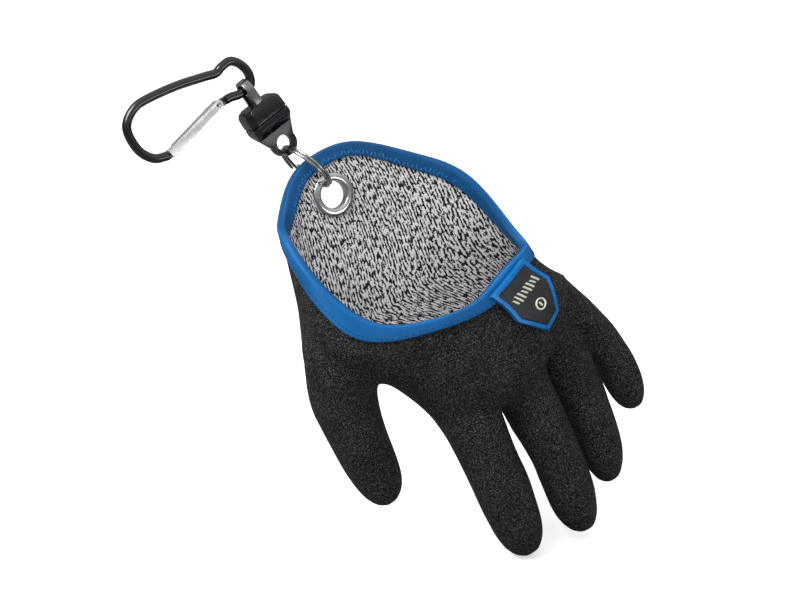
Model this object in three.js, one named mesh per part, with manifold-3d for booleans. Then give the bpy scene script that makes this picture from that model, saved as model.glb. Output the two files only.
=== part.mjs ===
// A fishing glove for landing fish, left hand, with a magnetic release clip and a carabiner.
// Millimetres. +Z runs up from the fingers to the wrist, -Y is the back of the hand,
// +Y the palm side and -X the thumb side. The origin is the middle of the hand entry.

import * as THREE from 'three';
import { mergeVertices } from 'three/addons/utils/BufferGeometryUtils.js';
import Module from 'manifold-3d';

const wasm = await Module();
wasm.setup();

// Palm and hand entry
const palmWidth = 122;
const palmDepth = 54;
const palmLength = 100;
const mouthRise = 100;
const palmSquareness = 2.8;
const knuckleBow = 24;
const knuckleBowWidth = 56;
const archStart = -0.45;
const archMiddle = 0.057;
const palmWaist = -0.56;
const capInset = 6;

// Layers of the wall
const coatWall = 1.0;
const knitWall = 1.0;
const layerGap = 0.3;

// Digits
const fingerLength = 116;
const fingerWidth = 32;
const fingerThickness = 28;
const thumbLength = 106;
const thumbWidth = 33.5;
const thumbThickness = 30;

// Binding folded over the edge of the hand entry
const bindingWidth = 7;
const bindingCloth = 1.0;
const seatGap = 0.3;

// Badge on the binding, over the back of the hand
const badgeWidth = 34;
const badgeHeight = 40;
const badgeThickness = 2.6;
const badgeRim = 2.4;
const badgeFloor = 1.2;
const badgeInlay = 0.9;

// Eyelet through the palm panel
const eyeletBore = 14.4;
const eyeletOuter = 23.6;
const eyeletMetal = 0.8;
const eyeletDome = 1.1;
const eyeletHeight = 40;
const eyeletShare = 0.296;
const flangeLift = 0.8;

// Split ring
const ringMean = 30.6;
const ringWire = 1.5;
const ringTurns = 2;
const ringLean = THREE.MathUtils.degToRad(15.5);

// Release clip
const clipWidth = 22.8;
const clipDepth = 17;
const clipHole = 8.6;
const tabThickness = 4.6;
const tabEdge = 2.7;
const tabShare = 0.47;
const tabRise = 0.75;
const tabRoot = 2;
const lowerHalf = 9;
const upperHalf = 9;
const clipLean = THREE.MathUtils.degToRad(3.5);
const splitGap = 0.3;
const bailWidth = 4.6;
const bailSpan = 12.4;
const bailStrap = 1.9;
const bailRise = 14.2;
const bailDepthIn = 3;

// Carabiner
const carabinerLength = 70.8;
const carabinerWidth = 30.1;
const rodThickness = 4.8;
const tongueThickness = 2.2;
const gateHeight = 4.9;
const gateThickness = 5.2;
const pinDiameter = 1.8;
const pinHead = 0.5;
const partGap = 0.3;

// Section of the palm at each height: height and shares of the palm's sizes
const palmRows = [
  { high: 0.80, shift: 0.020, wide: 0.877, deep: 0.98, back: 0.00 },
  { high: 0.43, shift: 0.030, wide: 0.900, deep: 1.00, back: 0.00 },
  { high: 0.14, shift: -0.004, wide: 0.992, deep: 1.00, back: 0.00 },
  { high: -0.02, shift: -0.035, wide: 1.045, deep: 1.00, back: 0.01 },
  { high: -0.14, shift: -0.066, wide: 1.098, deep: 0.98, back: 0.02 },
  { high: -0.27, shift: -0.084, wide: 1.127, deep: 0.97, back: 0.03 },
  { high: -0.38, shift: -0.029, wide: 1.025, deep: 0.95, back: 0.04 },
  { high: -0.50, shift: 0.061, wide: 0.893, deep: 0.90, back: 0.05 },
  { high: -0.64, shift: 0.102, wide: 0.877, deep: 0.90, back: 0.05 },
  { high: -0.78, shift: 0.133, wide: 0.881, deep: 0.84, back: 0.08 },
  { high: -1.00, shift: 0.172, wide: 0.885, deep: 0.72, back: 0.12 },
];

// Edge of the hand entry, unrolled: share of the girth, counted from the little-finger side
// over the palm side, and height as a share of the rise
const mouthRows = [
  { around: 0.000, high: -0.290 },
  { around: 0.020, high: -0.110 },
  { around: 0.042, high: 0.070 },
  { around: 0.075, high: 0.210 },
  { around: 0.120, high: 0.340 },
  { around: 0.165, high: 0.475 },
  { around: 0.215, high: 0.580 },
  { around: 0.280, high: 0.620 },
  { around: 0.340, high: 0.610 },
  { around: 0.388, high: 0.540 },
  { around: 0.430, high: 0.465 },
  { around: 0.480, high: 0.425 },
  { around: 0.510, high: 0.355 },
  { around: 0.537, high: 0.240 },
  { around: 0.570, high: 0.095 },
  { around: 0.610, high: -0.065 },
  { around: 0.655, high: -0.190 },
  { around: 0.712, high: -0.300 },
  { around: 0.785, high: -0.390 },
  { around: 0.870, high: -0.345 },
  { around: 0.940, high: -0.340 },
  { around: 0.982, high: -0.355 },
];

// Centre line of each digit: root, middle and tip, with across as shares of the palm's width, back
// of its depth, high of its length, and drops below the root as shares of the digit's length
const fingerRows = [
  {
    wide: 1.0, thick: 1.0, rootAcross: -0.123, rootBack: 0.074, rootHigh: -0.72,
    midAcross: -0.138, midBack: 0.139, midDrop: 0.457, tipAcross: -0.178, tipBack: 0.352, tipDrop: 0.945,
  },
  {
    wide: 0.94, thick: 0.98, rootAcross: 0.148, rootBack: 0.056, rootHigh: -0.75,
    midAcross: 0.148, midBack: 0.157, midDrop: 0.517, tipAcross: 0.094, tipBack: 0.37, tipDrop: 0.996,
  },
  {
    wide: 0.865, thick: 0.93, rootAcross: 0.377, rootBack: 0.13, rootHigh: -0.68,
    midAcross: 0.398, midBack: 0.231, midDrop: 0.491, tipAcross: 0.328, tipBack: 0.426, tipDrop: 0.944,
  },
  {
    wide: 0.755, thick: 0.84, rootAcross: 0.452, rootBack: 0.148, rootHigh: -0.58,
    midAcross: 0.619, midBack: 0.287, midDrop: 0.466, tipAcross: 0.582, tipBack: 0.444, tipDrop: 0.84,
  },
];
const thumbRow = {
  rootAcross: -0.42, rootBack: 0.09, rootHigh: -0.12, midAcross: -0.545, midBack: 0.269, midDrop: 0.358,
  tipAcross: -0.549, tipBack: 0.537, tipDrop: 0.939,
};

// Widths along a digit as shares of its width, from root to where the round tip starts
const fingerTaper = [
  { along: 0.00, wide: 0.84 },
  { along: 0.12, wide: 1.00 },
  { along: 0.32, wide: 1.01 },
  { along: 0.58, wide: 0.975 },
  { along: 0.76, wide: 0.94 },
];
const thumbTaper = [
  { along: 0.00, wide: 0.95 },
  { along: 0.16, wide: 1.20 },
  { along: 0.30, wide: 1.16 },
  { along: 0.46, wide: 1.02 },
  { along: 0.62, wide: 0.94 },
  { along: 0.78, wide: 0.85 },
];

// Half widths of the badge on the way down from the edge of the hand entry
const badgeRows = [
  { down: 0.0, half: 0.41 },
  { down: 0.5, half: 0.50 },
  { down: 1.0, half: 0.18 },
];
const badgeShare = 0.856;
const badgeTop = -0.372;
const badgeSlope = THREE.MathUtils.degToRad(10);
const badgeLean = THREE.MathUtils.degToRad(-5);

// Carabiner's rod from the nose round to the hinge, measured from where it hangs in the bail:
// share of its length away from the clip, and share of its width upwards
const rodRows = [
  { along: 0.773, up: -0.173 },
  { along: 0.871, up: -0.076 },
  { along: 0.934, up: 0.166 },
  { along: 0.938, up: 0.492 },
  { along: 0.894, up: 0.688 },
  { along: 0.788, up: 0.814 },
  { along: 0.658, up: 0.807 },
  { along: 0.444, up: 0.718 },
  { along: 0.240, up: 0.585 },
  { along: 0.150, up: 0.522 },
  { along: 0.090, up: 0.555 },
  { along: 0.014, up: 0.558 },
  { along: -0.037, up: 0.445 },
  { along: -0.062, up: 0.269 },
  { along: -0.053, up: 0.115 },
  { along: -0.022, up: 0.012 },
  { along: 0.030, up: 0.000 },
  { along: 0.086, up: 0.000 },
  { along: 0.144, up: 0.040 },
  { along: 0.190, up: 0.050 },
];
const pinPlace = { along: 0.262, up: 0.062 };
const nosePlace = { along: 0.738, up: -0.165 };

// Facets
const palmFacets = 30;
const digitFacets = 10;
const girthSteps = 720;
const edgeSteps = 900;
const steepShare = 0.45;
const badgeSteps = { across: 8, down: 6 };

// How far the cutters of the hollow run on past the edge, and how far their caps rise
const cutPast = 3;
const cutRaise = 14;
const mouthMiddle = 0.1;

// Colours, roughness and metalness
const finish = {
  coating: { color: 0x1b1b1d, roughness: 0.85, metalness: 0 },
  knit: { color: 0x8d8c8e, roughness: 0.95, metalness: 0 },
  binding: { color: 0x0f78d8, roughness: 0.7, metalness: 0 },
  badge: { color: 0x1070cf, roughness: 0.5, metalness: 0 },
  inlay: { color: 0x2b2b2e, roughness: 0.6, metalness: 0 },
  steel: { color: 0xc4c6c8, roughness: 0.2, metalness: 1 },
  clip: { color: 0x121214, roughness: 0.22, metalness: 0 },
  rod: { color: 0x161618, roughness: 0.3, metalness: 0.4 },
  gate: { color: 0xd2d4d6, roughness: 0.35, metalness: 1 },
};

// Solids and meshes

function toSolid(geometry) {
  const bare = geometry.index ? geometry.toNonIndexed() : geometry.clone();
  bare.deleteAttribute('normal');
  bare.deleteAttribute('uv');
  const merged = mergeVertices(bare, 1e-5);
  const vertProperties = new Float32Array(merged.attributes.position.array);
  const triVerts = new Uint32Array(merged.index.array);
  return new wasm.Manifold(new wasm.Mesh({ numProp: 3, vertProperties, triVerts }));
}

function toGeometry(solid) {
  const mesh = solid.getMesh();
  const places = new Float32Array(mesh.numVert * 3);
  for (let i = 0; i < mesh.numVert; i += 1) {
    for (let axis = 0; axis < 3; axis += 1) {
      places[3 * i + axis] = mesh.vertProperties[mesh.numProp * i + axis];
    }
  }
  const geometry = new THREE.BufferGeometry();
  geometry.setAttribute('position', new THREE.BufferAttribute(places, 3));
  geometry.setIndex(Array.from(mesh.triVerts));
  geometry.computeVertexNormals();
  return geometry;
}

function named(name, geometry, look) {
  const mesh = new THREE.Mesh(geometry, new THREE.MeshStandardMaterial(look));
  mesh.name = name;
  return mesh;
}

function union(solids) {
  return solids.reduce((whole, next) => whole.add(next));
}

// Six times the volume that a list of triangles closes, to tell its inside from its outside
function signedVolume(points, triangles) {
  let total = 0;
  for (const [a, b, c] of triangles) {
    total += points[a].dot(new THREE.Vector3().crossVectors(points[b], points[c]));
  }
  return total;
}

function closedGeometry(points, triangles) {
  const outward = signedVolume(points, triangles) > 0;
  const index = triangles.flatMap(([a, b, c]) => (outward ? [a, b, c] : [a, c, b]));
  const geometry = new THREE.BufferGeometry().setFromPoints(points);
  geometry.setIndex(index);
  geometry.computeVertexNormals();
  return geometry;
}

// A skin over rings of equal count, with a fan to a middle point at each end
function loft(rings, firstMiddle, lastMiddle) {
  const count = rings[0].length;
  const points = rings.flat();
  const triangles = [];
  for (let row = 0; row < rings.length - 1; row += 1) {
    for (let i = 0; i < count; i += 1) {
      const j = (i + 1) % count;
      const a = row * count + i;
      const b = row * count + j;
      triangles.push([a, b, b + count], [a, b + count, a + count]);
    }
  }
  const last = (rings.length - 1) * count;
  const first = points.push(firstMiddle) - 1;
  const end = points.push(lastMiddle) - 1;
  for (let i = 0; i < count; i += 1) {
    const j = (i + 1) % count;
    triangles.push([first, j, i], [end, last + i, last + j]);
  }
  return closedGeometry(points, triangles);
}

function middleOf(ring) {
  return ring.reduce((sum, p) => sum.add(p), new THREE.Vector3()).divideScalar(ring.length);
}

// A row between two rows of a table, at a value of one of its columns
function rowAt(rows, column, value) {
  const rising = rows[0][column] < rows[rows.length - 1][column];
  let next = rows.findIndex((row) => (rising ? row[column] >= value : row[column] <= value));
  next = next < 0 ? rows.length - 1 : Math.max(next, 1);
  const before = rows[next - 1];
  const after = rows[next];
  const part = (value - before[column]) / (after[column] - before[column]);
  const held = THREE.MathUtils.clamp(part, 0, 1);
  const mix = {};
  for (const key of Object.keys(before)) {
    mix[key] = THREE.MathUtils.lerp(before[key], after[key], held);
  }
  return mix;
}

// Palm

function ovalAt(turn) {
  const power = 2 / palmSquareness;
  const across = Math.cos(turn);
  const deep = Math.sin(turn);
  return {
    across: Math.sign(across) * Math.abs(across) ** power,
    deep: Math.sign(deep) * Math.abs(deep) ** power,
  };
}

// Turn about the palm's axis at each share of its girth
const girthTable = (() => {
  const lengths = [0];
  let before = ovalAt(0);
  for (let i = 1; i <= girthSteps; i += 1) {
    const here = ovalAt((i / girthSteps) * 2 * Math.PI);
    const wide = ((here.across - before.across) * palmWidth) / 2;
    const deep = ((here.deep - before.deep) * palmDepth) / 2;
    lengths.push(lengths[i - 1] + Math.hypot(wide, deep));
    before = here;
  }
  return lengths;
})();
const girth = girthTable[girthSteps];

function turnAt(share) {
  const wanted = (share - Math.floor(share)) * girth;
  let low = 0;
  let high = girthSteps;
  while (high - low > 1) {
    const half = (low + high) >> 1;
    if (girthTable[half] <= wanted) {
      low = half;
    } else {
      high = half;
    }
  }
  const part = (wanted - girthTable[low]) / (girthTable[high] - girthTable[low]);
  return ((low + part) / girthSteps) * 2 * Math.PI;
}

// A point on the palm's wall, at a share of the girth, a height and a depth into the wall
function palmPoint(share, height, inset) {
  const row = rowAt(palmRows, 'high', height / palmLength);
  const oval = ovalAt(turnAt(share));
  const x = row.shift * palmWidth + ((row.wide * palmWidth) / 2 - inset) * oval.across;
  const y = row.back * palmDepth + ((row.deep * palmDepth) / 2 - inset) * oval.deep;
  return new THREE.Vector3(x, y, height);
}

// The same with the low end of the palm drawn in to the arch of the knuckles
function wallPoint(share, height, inset) {
  const point = palmPoint(share, height, inset);
  const part = (height / palmLength - archStart) / (-1 - archStart);
  if (part <= 0) {
    return point;
  }
  const across = palmPoint(share, height, 0).x - archMiddle * palmWidth;
  const knuckle = knuckleBow * (across / knuckleBowWidth) ** 2 - palmLength;
  return point.setZ(THREE.MathUtils.lerp(archStart * palmLength, knuckle, part));
}

// The edge of the hand entry in the unrolled wall: where, and which way is down the wall
const mouthEdge = (() => {
  const points = [];
  for (const lap of [-1, 0, 1]) {
    for (const row of mouthRows) {
      points.push(new THREE.Vector2((row.around + lap) * girth, row.high * mouthRise));
    }
  }
  const curve = new THREE.SplineCurve(points);
  const lapStart = mouthRows.length / (points.length - 1);
  const dense = [];
  for (let i = 0; i <= edgeSteps; i += 1) {
    dense.push(curve.getPoint(lapStart * (1 + i / edgeSteps)));
  }
  const lengths = [0];
  for (let i = 1; i <= edgeSteps; i += 1) {
    const step = new THREE.Vector2().subVectors(dense[i], dense[i - 1]);
    lengths.push(lengths[i - 1] + Math.hypot(step.x, steepShare * step.y));
  }
  const total = lengths[edgeSteps];
  const stations = [];
  for (let k = 0; k < palmFacets; k += 1) {
    const wanted = (k / palmFacets) * total;
    const i = Math.max(lengths.findIndex((length) => length >= wanted), 1);
    const along = new THREE.Vector2().subVectors(dense[i], dense[i - 1]).normalize();
    const part = (wanted - lengths[i - 1]) / (lengths[i] - lengths[i - 1]);
    const place = new THREE.Vector2().lerpVectors(dense[i - 1], dense[i], part);
    stations.push({ place, down: new THREE.Vector2(along.y, -along.x) });
  }
  return stations;
})();

function edgePlace(station, down) {
  return station.place.clone().addScaledVector(station.down, down);
}

function edgePoint(station, down, inset) {
  const place = edgePlace(station, down);
  return wallPoint(place.x / girth, place.y, inset);
}

// Rings of the palm below the binding: how far each has gone from the edge's own spacing to an
// even one, as a share of the way to the waist or as a height
const lowerRings = [
  { toWaist: 0.33, even: 0.2 },
  { toWaist: 0.66, even: 0.4 },
  { toWaist: 1.00, even: 0.6 },
  { high: -0.70, even: 0.8 },
  { high: -0.85, even: 0.9 },
  { high: -0.95, even: 1.0 },
];

// The palm as a closed solid, its wall drawn in by an inset. A cutter runs on past the edge.
function palmSolid(inset, cutter) {
  const past = cutter ? cutPast : 0;
  const raise = cutter ? cutRaise : 0;
  const capPoint = (station) => edgePoint(station, -past, inset + capInset);
  const rings = [
    mouthEdge.map((station) => capPoint(station).add(new THREE.Vector3(0, 0, raise))),
    mouthEdge.map((station) => edgePoint(station, -past, inset)),
  ];
  for (const share of cutter ? [0, 0.5, 1] : [0.5, 1]) {
    rings.push(mouthEdge.map((station) => edgePoint(station, share * bindingWidth, inset)));
  }
  const borders = mouthEdge.map((station) => edgePlace(station, bindingWidth));
  const offset = borders.reduce((sum, place, k) => sum + place.x / girth - k / palmFacets, 0);
  const even = borders.map((place, k) => (k + offset) / palmFacets);
  for (const row of lowerRings) {
    rings.push(borders.map((place, k) => {
      const share = THREE.MathUtils.lerp(place.x / girth, even[k], row.even);
      const height = row.high === undefined
        ? THREE.MathUtils.lerp(place.y, palmWaist * palmLength, row.toWaist)
        : row.high * palmLength;
      return wallPoint(share, height, inset);
    }));
  }
  const closing = inset - palmLength;
  const foot = even.map((share) => wallPoint(share, closing, inset + capInset));
  rings.push(foot);
  const top = new THREE.Vector3(0, 0, mouthMiddle * mouthRise + raise);
  return toSolid(loft(rings, top, middleOf(foot).setZ(closing)));
}

// Digits

function digitSolid(line, wide, thick, taper, inset) {
  const start = taper[taper.length - 1].along;
  const stops = [...taper];
  for (const turn of [30, 52, 70]) {
    const angle = THREE.MathUtils.degToRad(turn);
    const along = start + (1 - start) * Math.sin(angle);
    stops.push({ along, wide: taper[taper.length - 1].wide * Math.cos(angle) });
  }
  const edge = inset / line.getLength();
  const rings = stops.map((stop) => {
    const along = THREE.MathUtils.lerp(edge, 1 - edge, stop.along);
    const centre = line.getPointAt(along);
    const tangent = line.getTangentAt(along);
    const deep = new THREE.Vector3(1, 0, 0).cross(tangent).normalize();
    const side = new THREE.Vector3().crossVectors(tangent, deep);
    const thin = Math.sqrt(Math.max(stop.wide / taper[taper.length - 1].wide, 0));
    const closeIn = inset * Math.min(thin, 1);
    const ring = [];
    for (let k = 0; k < digitFacets; k += 1) {
      const angle = ((k + 0.5) / digitFacets) * 2 * Math.PI;
      const across = ((stop.wide * wide) / 2 - closeIn) * Math.cos(angle);
      const high = ((stop.wide * thick) / 2 - closeIn) * Math.sin(angle);
      ring.push(centre.clone().addScaledVector(side, across).addScaledVector(deep, high));
    }
    return ring;
  });
  return toSolid(loft(rings, line.getPointAt(edge), line.getPointAt(1 - edge)));
}

function digitLine(row, length) {
  const root = row.rootHigh * palmLength;
  const at = (across, back, high) => new THREE.Vector3(across * palmWidth, back * palmDepth, high);
  return new THREE.CatmullRomCurve3([
    at(row.rootAcross, row.rootBack, root),
    at(row.midAcross, row.midBack, root - row.midDrop * length),
    at(row.tipAcross, row.tipBack, root - row.tipDrop * length),
  ]);
}

function gloveSolid(inset, cutter) {
  const solids = [palmSolid(inset, cutter)];
  for (const row of fingerRows) {
    const line = digitLine(row, fingerLength);
    solids.push(
      digitSolid(line, row.wide * fingerWidth, row.thick * fingerThickness, fingerTaper, inset),
    );
  }
  const line = digitLine(thumbRow, thumbLength);
  solids.push(digitSolid(line, thumbWidth, thumbThickness, thumbTaper, inset));
  return union(solids);
}

// Binding: a strip folded over the edge, its two legs down the outside and the inside

const wall = coatWall + layerGap + knitWall;

function bindingGeometry() {
  const outer = -seatGap - bindingCloth;
  const inner = wall + seatGap + bindingCloth;
  const top = -seatGap - bindingCloth;
  const half = bindingWidth / 2;
  const round = 0.6 * bindingCloth;
  const section = [
    [outer, bindingWidth], [outer, half], [outer, 0], [outer + round, top + round / 3],
    [inner - round, top + round / 3], [inner, 0], [inner, half], [inner, bindingWidth],
    [wall + seatGap, bindingWidth], [wall + seatGap, half], [wall + seatGap, -seatGap],
    [-seatGap, -seatGap], [-seatGap, half], [-seatGap, bindingWidth],
  ];
  const points = [];
  for (const station of mouthEdge) {
    for (const [inset, down] of section) {
      points.push(edgePoint(station, down, inset));
    }
  }
  const count = section.length;
  const triangles = [];
  for (let k = 0; k < palmFacets; k += 1) {
    const next = (k + 1) % palmFacets;
    for (let i = 0; i < count; i += 1) {
      const j = (i + 1) % count;
      const [a, b] = [k * count + i, k * count + j];
      const [c, d] = [next * count + i, next * count + j];
      if (section[j][1] >= section[i][1]) {
        triangles.push([a, c, d], [a, d, b]);
      } else {
        triangles.push([a, c, b], [b, c, d]);
      }
    }
  }
  return closedGeometry(points, triangles);
}

// Eyelet: where it sits in the palm panel and which way it faces

const eyeletSeat = (() => {
  const at = (share, high) => palmPoint(share, high, 0);
  const step = 0.01;
  const centre = at(eyeletShare, eyeletHeight);
  const around = at(eyeletShare + step, eyeletHeight).sub(at(eyeletShare - step, eyeletHeight));
  const up = at(eyeletShare, eyeletHeight + 1).sub(at(eyeletShare, eyeletHeight - 1));
  const outward = new THREE.Vector3().crossVectors(around, up).normalize();
  if (outward.y < 0) {
    outward.negate();
  }
  const turn = new THREE.Quaternion().setFromUnitVectors(new THREE.Vector3(0, 1, 0), outward);
  return { centre, outward, turn };
})();

const barrelRadius = eyeletBore / 2 + eyeletMetal;

// Lathe profile of the eyelet: barrel through the wall and a domed flange inside the glove,
// heights along its axis outwards from the outer face of the wall
function eyeletGeometry() {
  const inside = -wall - flangeLift;
  const bore = eyeletBore / 2;
  const rim = eyeletOuter / 2;
  const crown = (bore + rim) / 2;
  const outside = seatGap + eyeletDome;
  const profile = [
    new THREE.Vector2(bore, outside),
    new THREE.Vector2(bore, inside),
    new THREE.Vector2(bore + eyeletMetal / 2, inside - eyeletDome),
    new THREE.Vector2(crown, inside - eyeletDome - eyeletMetal / 2),
    new THREE.Vector2(rim - eyeletMetal / 2, inside - eyeletMetal),
    new THREE.Vector2(rim, inside),
    new THREE.Vector2(barrelRadius, inside),
    new THREE.Vector2(barrelRadius, outside),
    new THREE.Vector2(bore, outside),
  ];
  return new THREE.LatheGeometry(profile, 24);
}

function washerGeometry() {
  const bore = barrelRadius + partGap;
  const rim = eyeletOuter / 2;
  const profile = [
    new THREE.Vector2(bore, seatGap),
    new THREE.Vector2(rim, seatGap),
    new THREE.Vector2(rim - eyeletMetal / 2, seatGap + eyeletMetal),
    new THREE.Vector2(bore + eyeletMetal, seatGap + eyeletDome),
    new THREE.Vector2(bore, seatGap + eyeletDome),
    new THREE.Vector2(bore, seatGap),
  ];
  return new THREE.LatheGeometry(profile, 24);
}

// The hole that the eyelet's barrel passes through
function eyeletHole() {
  const hole = new THREE.CylinderGeometry(barrelRadius + partGap, barrelRadius + partGap, 16, 24);
  hole.applyQuaternion(eyeletSeat.turn);
  hole.translate(...eyeletSeat.centre.toArray());
  return toSolid(hole);
}

// Badge: a plate that follows the wall over the binding

const badgeDown = new THREE.Vector2(Math.sin(badgeLean), -Math.cos(badgeLean));
const badgeAcross = new THREE.Vector2(Math.cos(badgeSlope), Math.sin(badgeSlope));
const badgePlace = new THREE.Vector2(badgeShare * girth, badgeTop * palmLength);

// A plate of the badge's outline between two depths off the wall, its border drawn in by shrink
function badgePlate(shrink, inner, outer) {
  const edge = shrink / badgeHeight;
  const grid = (inset) => {
    const points = [];
    for (let r = 0; r <= badgeSteps.down; r += 1) {
      const down = THREE.MathUtils.lerp(edge, 1 - edge, r / badgeSteps.down);
      const half = rowAt(badgeRows, 'down', down).half * badgeWidth - shrink;
      for (let c = 0; c <= badgeSteps.across; c += 1) {
        const across = THREE.MathUtils.lerp(-half, half, c / badgeSteps.across);
        const place = badgePlace.clone().addScaledVector(badgeDown, down * badgeHeight)
          .addScaledVector(badgeAcross, across);
        points.push(wallPoint(place.x / girth, place.y, inset));
      }
    }
    return points;
  };
  const back = grid(inner);
  const points = [...back, ...grid(outer)];
  const shift = back.length;
  const wide = badgeSteps.across + 1;
  const triangles = [];
  for (let r = 0; r < badgeSteps.down; r += 1) {
    for (let c = 0; c < badgeSteps.across; c += 1) {
      const a = r * wide + c;
      const [b, d, e] = [a + 1, a + wide, a + wide + 1];
      triangles.push([a, b, e], [a, e, d]);
      triangles.push([a + shift, e + shift, b + shift], [a + shift, d + shift, e + shift]);
    }
  }
  const low = badgeSteps.down * wide;
  const border = [];
  for (let c = 0; c < wide - 1; c += 1) {
    border.push([c, c + 1], [low + c + 1, low + c]);
  }
  for (let r = 0; r < badgeSteps.down; r += 1) {
    border.push([(r + 1) * wide, r * wide], [(r + 1) * wide - 1, (r + 2) * wide - 1]);
  }
  for (const [a, b] of border) {
    triangles.push([a, b + shift, b], [a, a + shift, b + shift]);
  }
  return toSolid(closedGeometry(points, triangles));
}

const badgeBack = -2 * seatGap - bindingCloth;
const badgeFront = badgeBack - badgeThickness;

function badgeFrameSolid() {
  const recess = badgePlate(badgeRim, badgeBack - badgeFloor, badgeFront - badgeThickness);
  return badgePlate(0, badgeBack, badgeFront).subtract(recess);
}

function badgeInlaySolid() {
  const floor = badgeBack - badgeFloor - partGap;
  return badgePlate(badgeRim + partGap, floor, floor - badgeInlay);
}

// Split ring: it leans from the top of the eyelet's bore up to the clip's tab

const ringDirection = new THREE.Vector3(-Math.sin(ringLean), 0, Math.cos(ringLean));
const wallMiddle = eyeletSeat.centre.clone().addScaledVector(eyeletSeat.outward, -wall / 2);
const coilHalf = (ringWire * 1.15 * (ringTurns - 1) + ringWire) / 2;

// How far the ring's wire stands off the edge of a bore of a given size and length
function wireStand(bore, length) {
  const radius = ringMean / 2;
  const sag = radius - Math.sqrt(radius ** 2 - (length / 2) ** 2);
  const tilt = coilHalf * Math.sin(ringLean) + coilHalf ** 2 / bore;
  return ringWire / 2 + sag + tilt + partGap;
}

const eyeletLength = wall + flangeLift + 2 * eyeletDome + eyeletMetal;
const footRise = eyeletBore / 2 - wireStand(eyeletBore, eyeletLength);
const ringFoot = wallMiddle.clone().add(new THREE.Vector3(0, 0, footRise));
const ringCentre = ringFoot.clone().addScaledVector(ringDirection, ringMean / 2);
const ringHead = ringFoot.clone().addScaledVector(ringDirection, ringMean);

class CoilCurve extends THREE.Curve {
  getPoint(t, target = new THREE.Vector3()) {
    const turn = t * ringTurns * 2 * Math.PI;
    const pitch = ringWire * 1.15;
    const side = (t - 0.5) * pitch * (ringTurns - 0.04);
    return target.set((ringMean / 2) * Math.cos(turn), (ringMean / 2) * Math.sin(turn), side);
  }
}

function roundShape(radius, sides) {
  const shape = new THREE.Shape();
  for (let i = 0; i < sides; i += 1) {
    const angle = (i / sides) * 2 * Math.PI;
    shape[i === 0 ? 'moveTo' : 'lineTo'](radius * Math.cos(angle), radius * Math.sin(angle));
  }
  return shape;
}

function ringGeometry() {
  const geometry = new THREE.ExtrudeGeometry(roundShape(ringWire / 2, 6), {
    steps: 18 * ringTurns, extrudePath: new CoilCurve(),
  });
  const up = ringDirection;
  const through = new THREE.Vector3(0, 1, 0);
  const face = new THREE.Vector3().crossVectors(through, up);
  geometry.applyMatrix4(new THREE.Matrix4().makeBasis(through, up, face));
  return geometry;
}

// Release clip, in its own frame: origin at the middle of the tab's hole, +Z up

const clipRise = clipHole / 2 - wireStand(clipHole, tabThickness);
const clipSeat = ringHead.clone().add(new THREE.Vector3(0, 0, clipRise));
const splitHeight = clipHole / 2 + tabEdge + lowerHalf;

function octagonRing(halfWide, halfDeep, height) {
  const cut = 0.34 * halfDeep;
  const corners = [
    [halfWide, halfDeep - cut], [halfWide - cut, halfDeep], [-halfWide + cut, halfDeep],
    [-halfWide, halfDeep - cut], [-halfWide, -halfDeep + cut], [-halfWide + cut, -halfDeep],
    [halfWide - cut, -halfDeep], [halfWide, -halfDeep + cut],
  ];
  return corners.map(([x, y]) => new THREE.Vector3(x, y, height));
}

function bodySolid(rows) {
  const rings = rows.map((row) => octagonRing(
    (row.wide * clipWidth) / 2, (row.deep * clipDepth) / 2, row.high,
  ));
  return toSolid(loft(rings, middleOf(rings[0]), middleOf(rings[rings.length - 1])));
}

// A flat shape drawn in the XZ or YZ plane, made as thick as asked about that plane
function plateXZ(shape, thickness, curveSegments = 8) {
  const geometry = new THREE.ExtrudeGeometry(shape, {
    depth: thickness, bevelEnabled: false, curveSegments,
  });
  geometry.translate(0, 0, -thickness / 2);
  geometry.rotateX(Math.PI / 2);
  return geometry;
}

function plateYZ(shape, thickness, curveSegments = 8) {
  const geometry = plateXZ(shape, thickness, curveSegments);
  geometry.rotateZ(Math.PI / 2);
  return geometry;
}

// The tab: round about its hole, its sides running up to the full width of the clip
function tabSolid() {
  const round = clipHole / 2 + tabEdge;
  const wide = tabShare * clipWidth;
  const top = splitHeight - tabRise * lowerHalf;
  const touch = Math.asin(round / Math.hypot(wide, top)) - Math.atan2(top, wide);
  const shape = new THREE.Shape();
  shape.moveTo(wide, top + tabRoot);
  shape.lineTo(wide, top);
  shape.absarc(0, 0, round, -touch, Math.PI + touch, true);
  shape.lineTo(-wide, top);
  shape.lineTo(-wide, top + tabRoot);
  const hole = new THREE.Path();
  hole.absarc(0, 0, clipHole / 2, 0, 2 * Math.PI, false);
  shape.holes.push(hole);
  return toSolid(plateXZ(shape, tabThickness, 12));
}

function clipLowerSolid() {
  const top = splitHeight - splitGap / 2;
  const body = bodySolid([
    { high: splitHeight - 0.9 * lowerHalf, wide: 0.90, deep: 0.24 },
    { high: splitHeight - 0.72 * lowerHalf, wide: 0.95, deep: 0.5 },
    { high: splitHeight - 0.5 * lowerHalf, wide: 0.99, deep: 0.88 },
    { high: splitHeight - 0.36 * lowerHalf, wide: 1.0, deep: 1.0 },
    { high: top - 0.4, wide: 1.0, deep: 1.0 },
    { high: top, wide: 0.97, deep: 0.96 },
  ]);
  return body.add(tabSolid());
}

const bailTop = splitHeight + upperHalf + bailRise;

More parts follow.
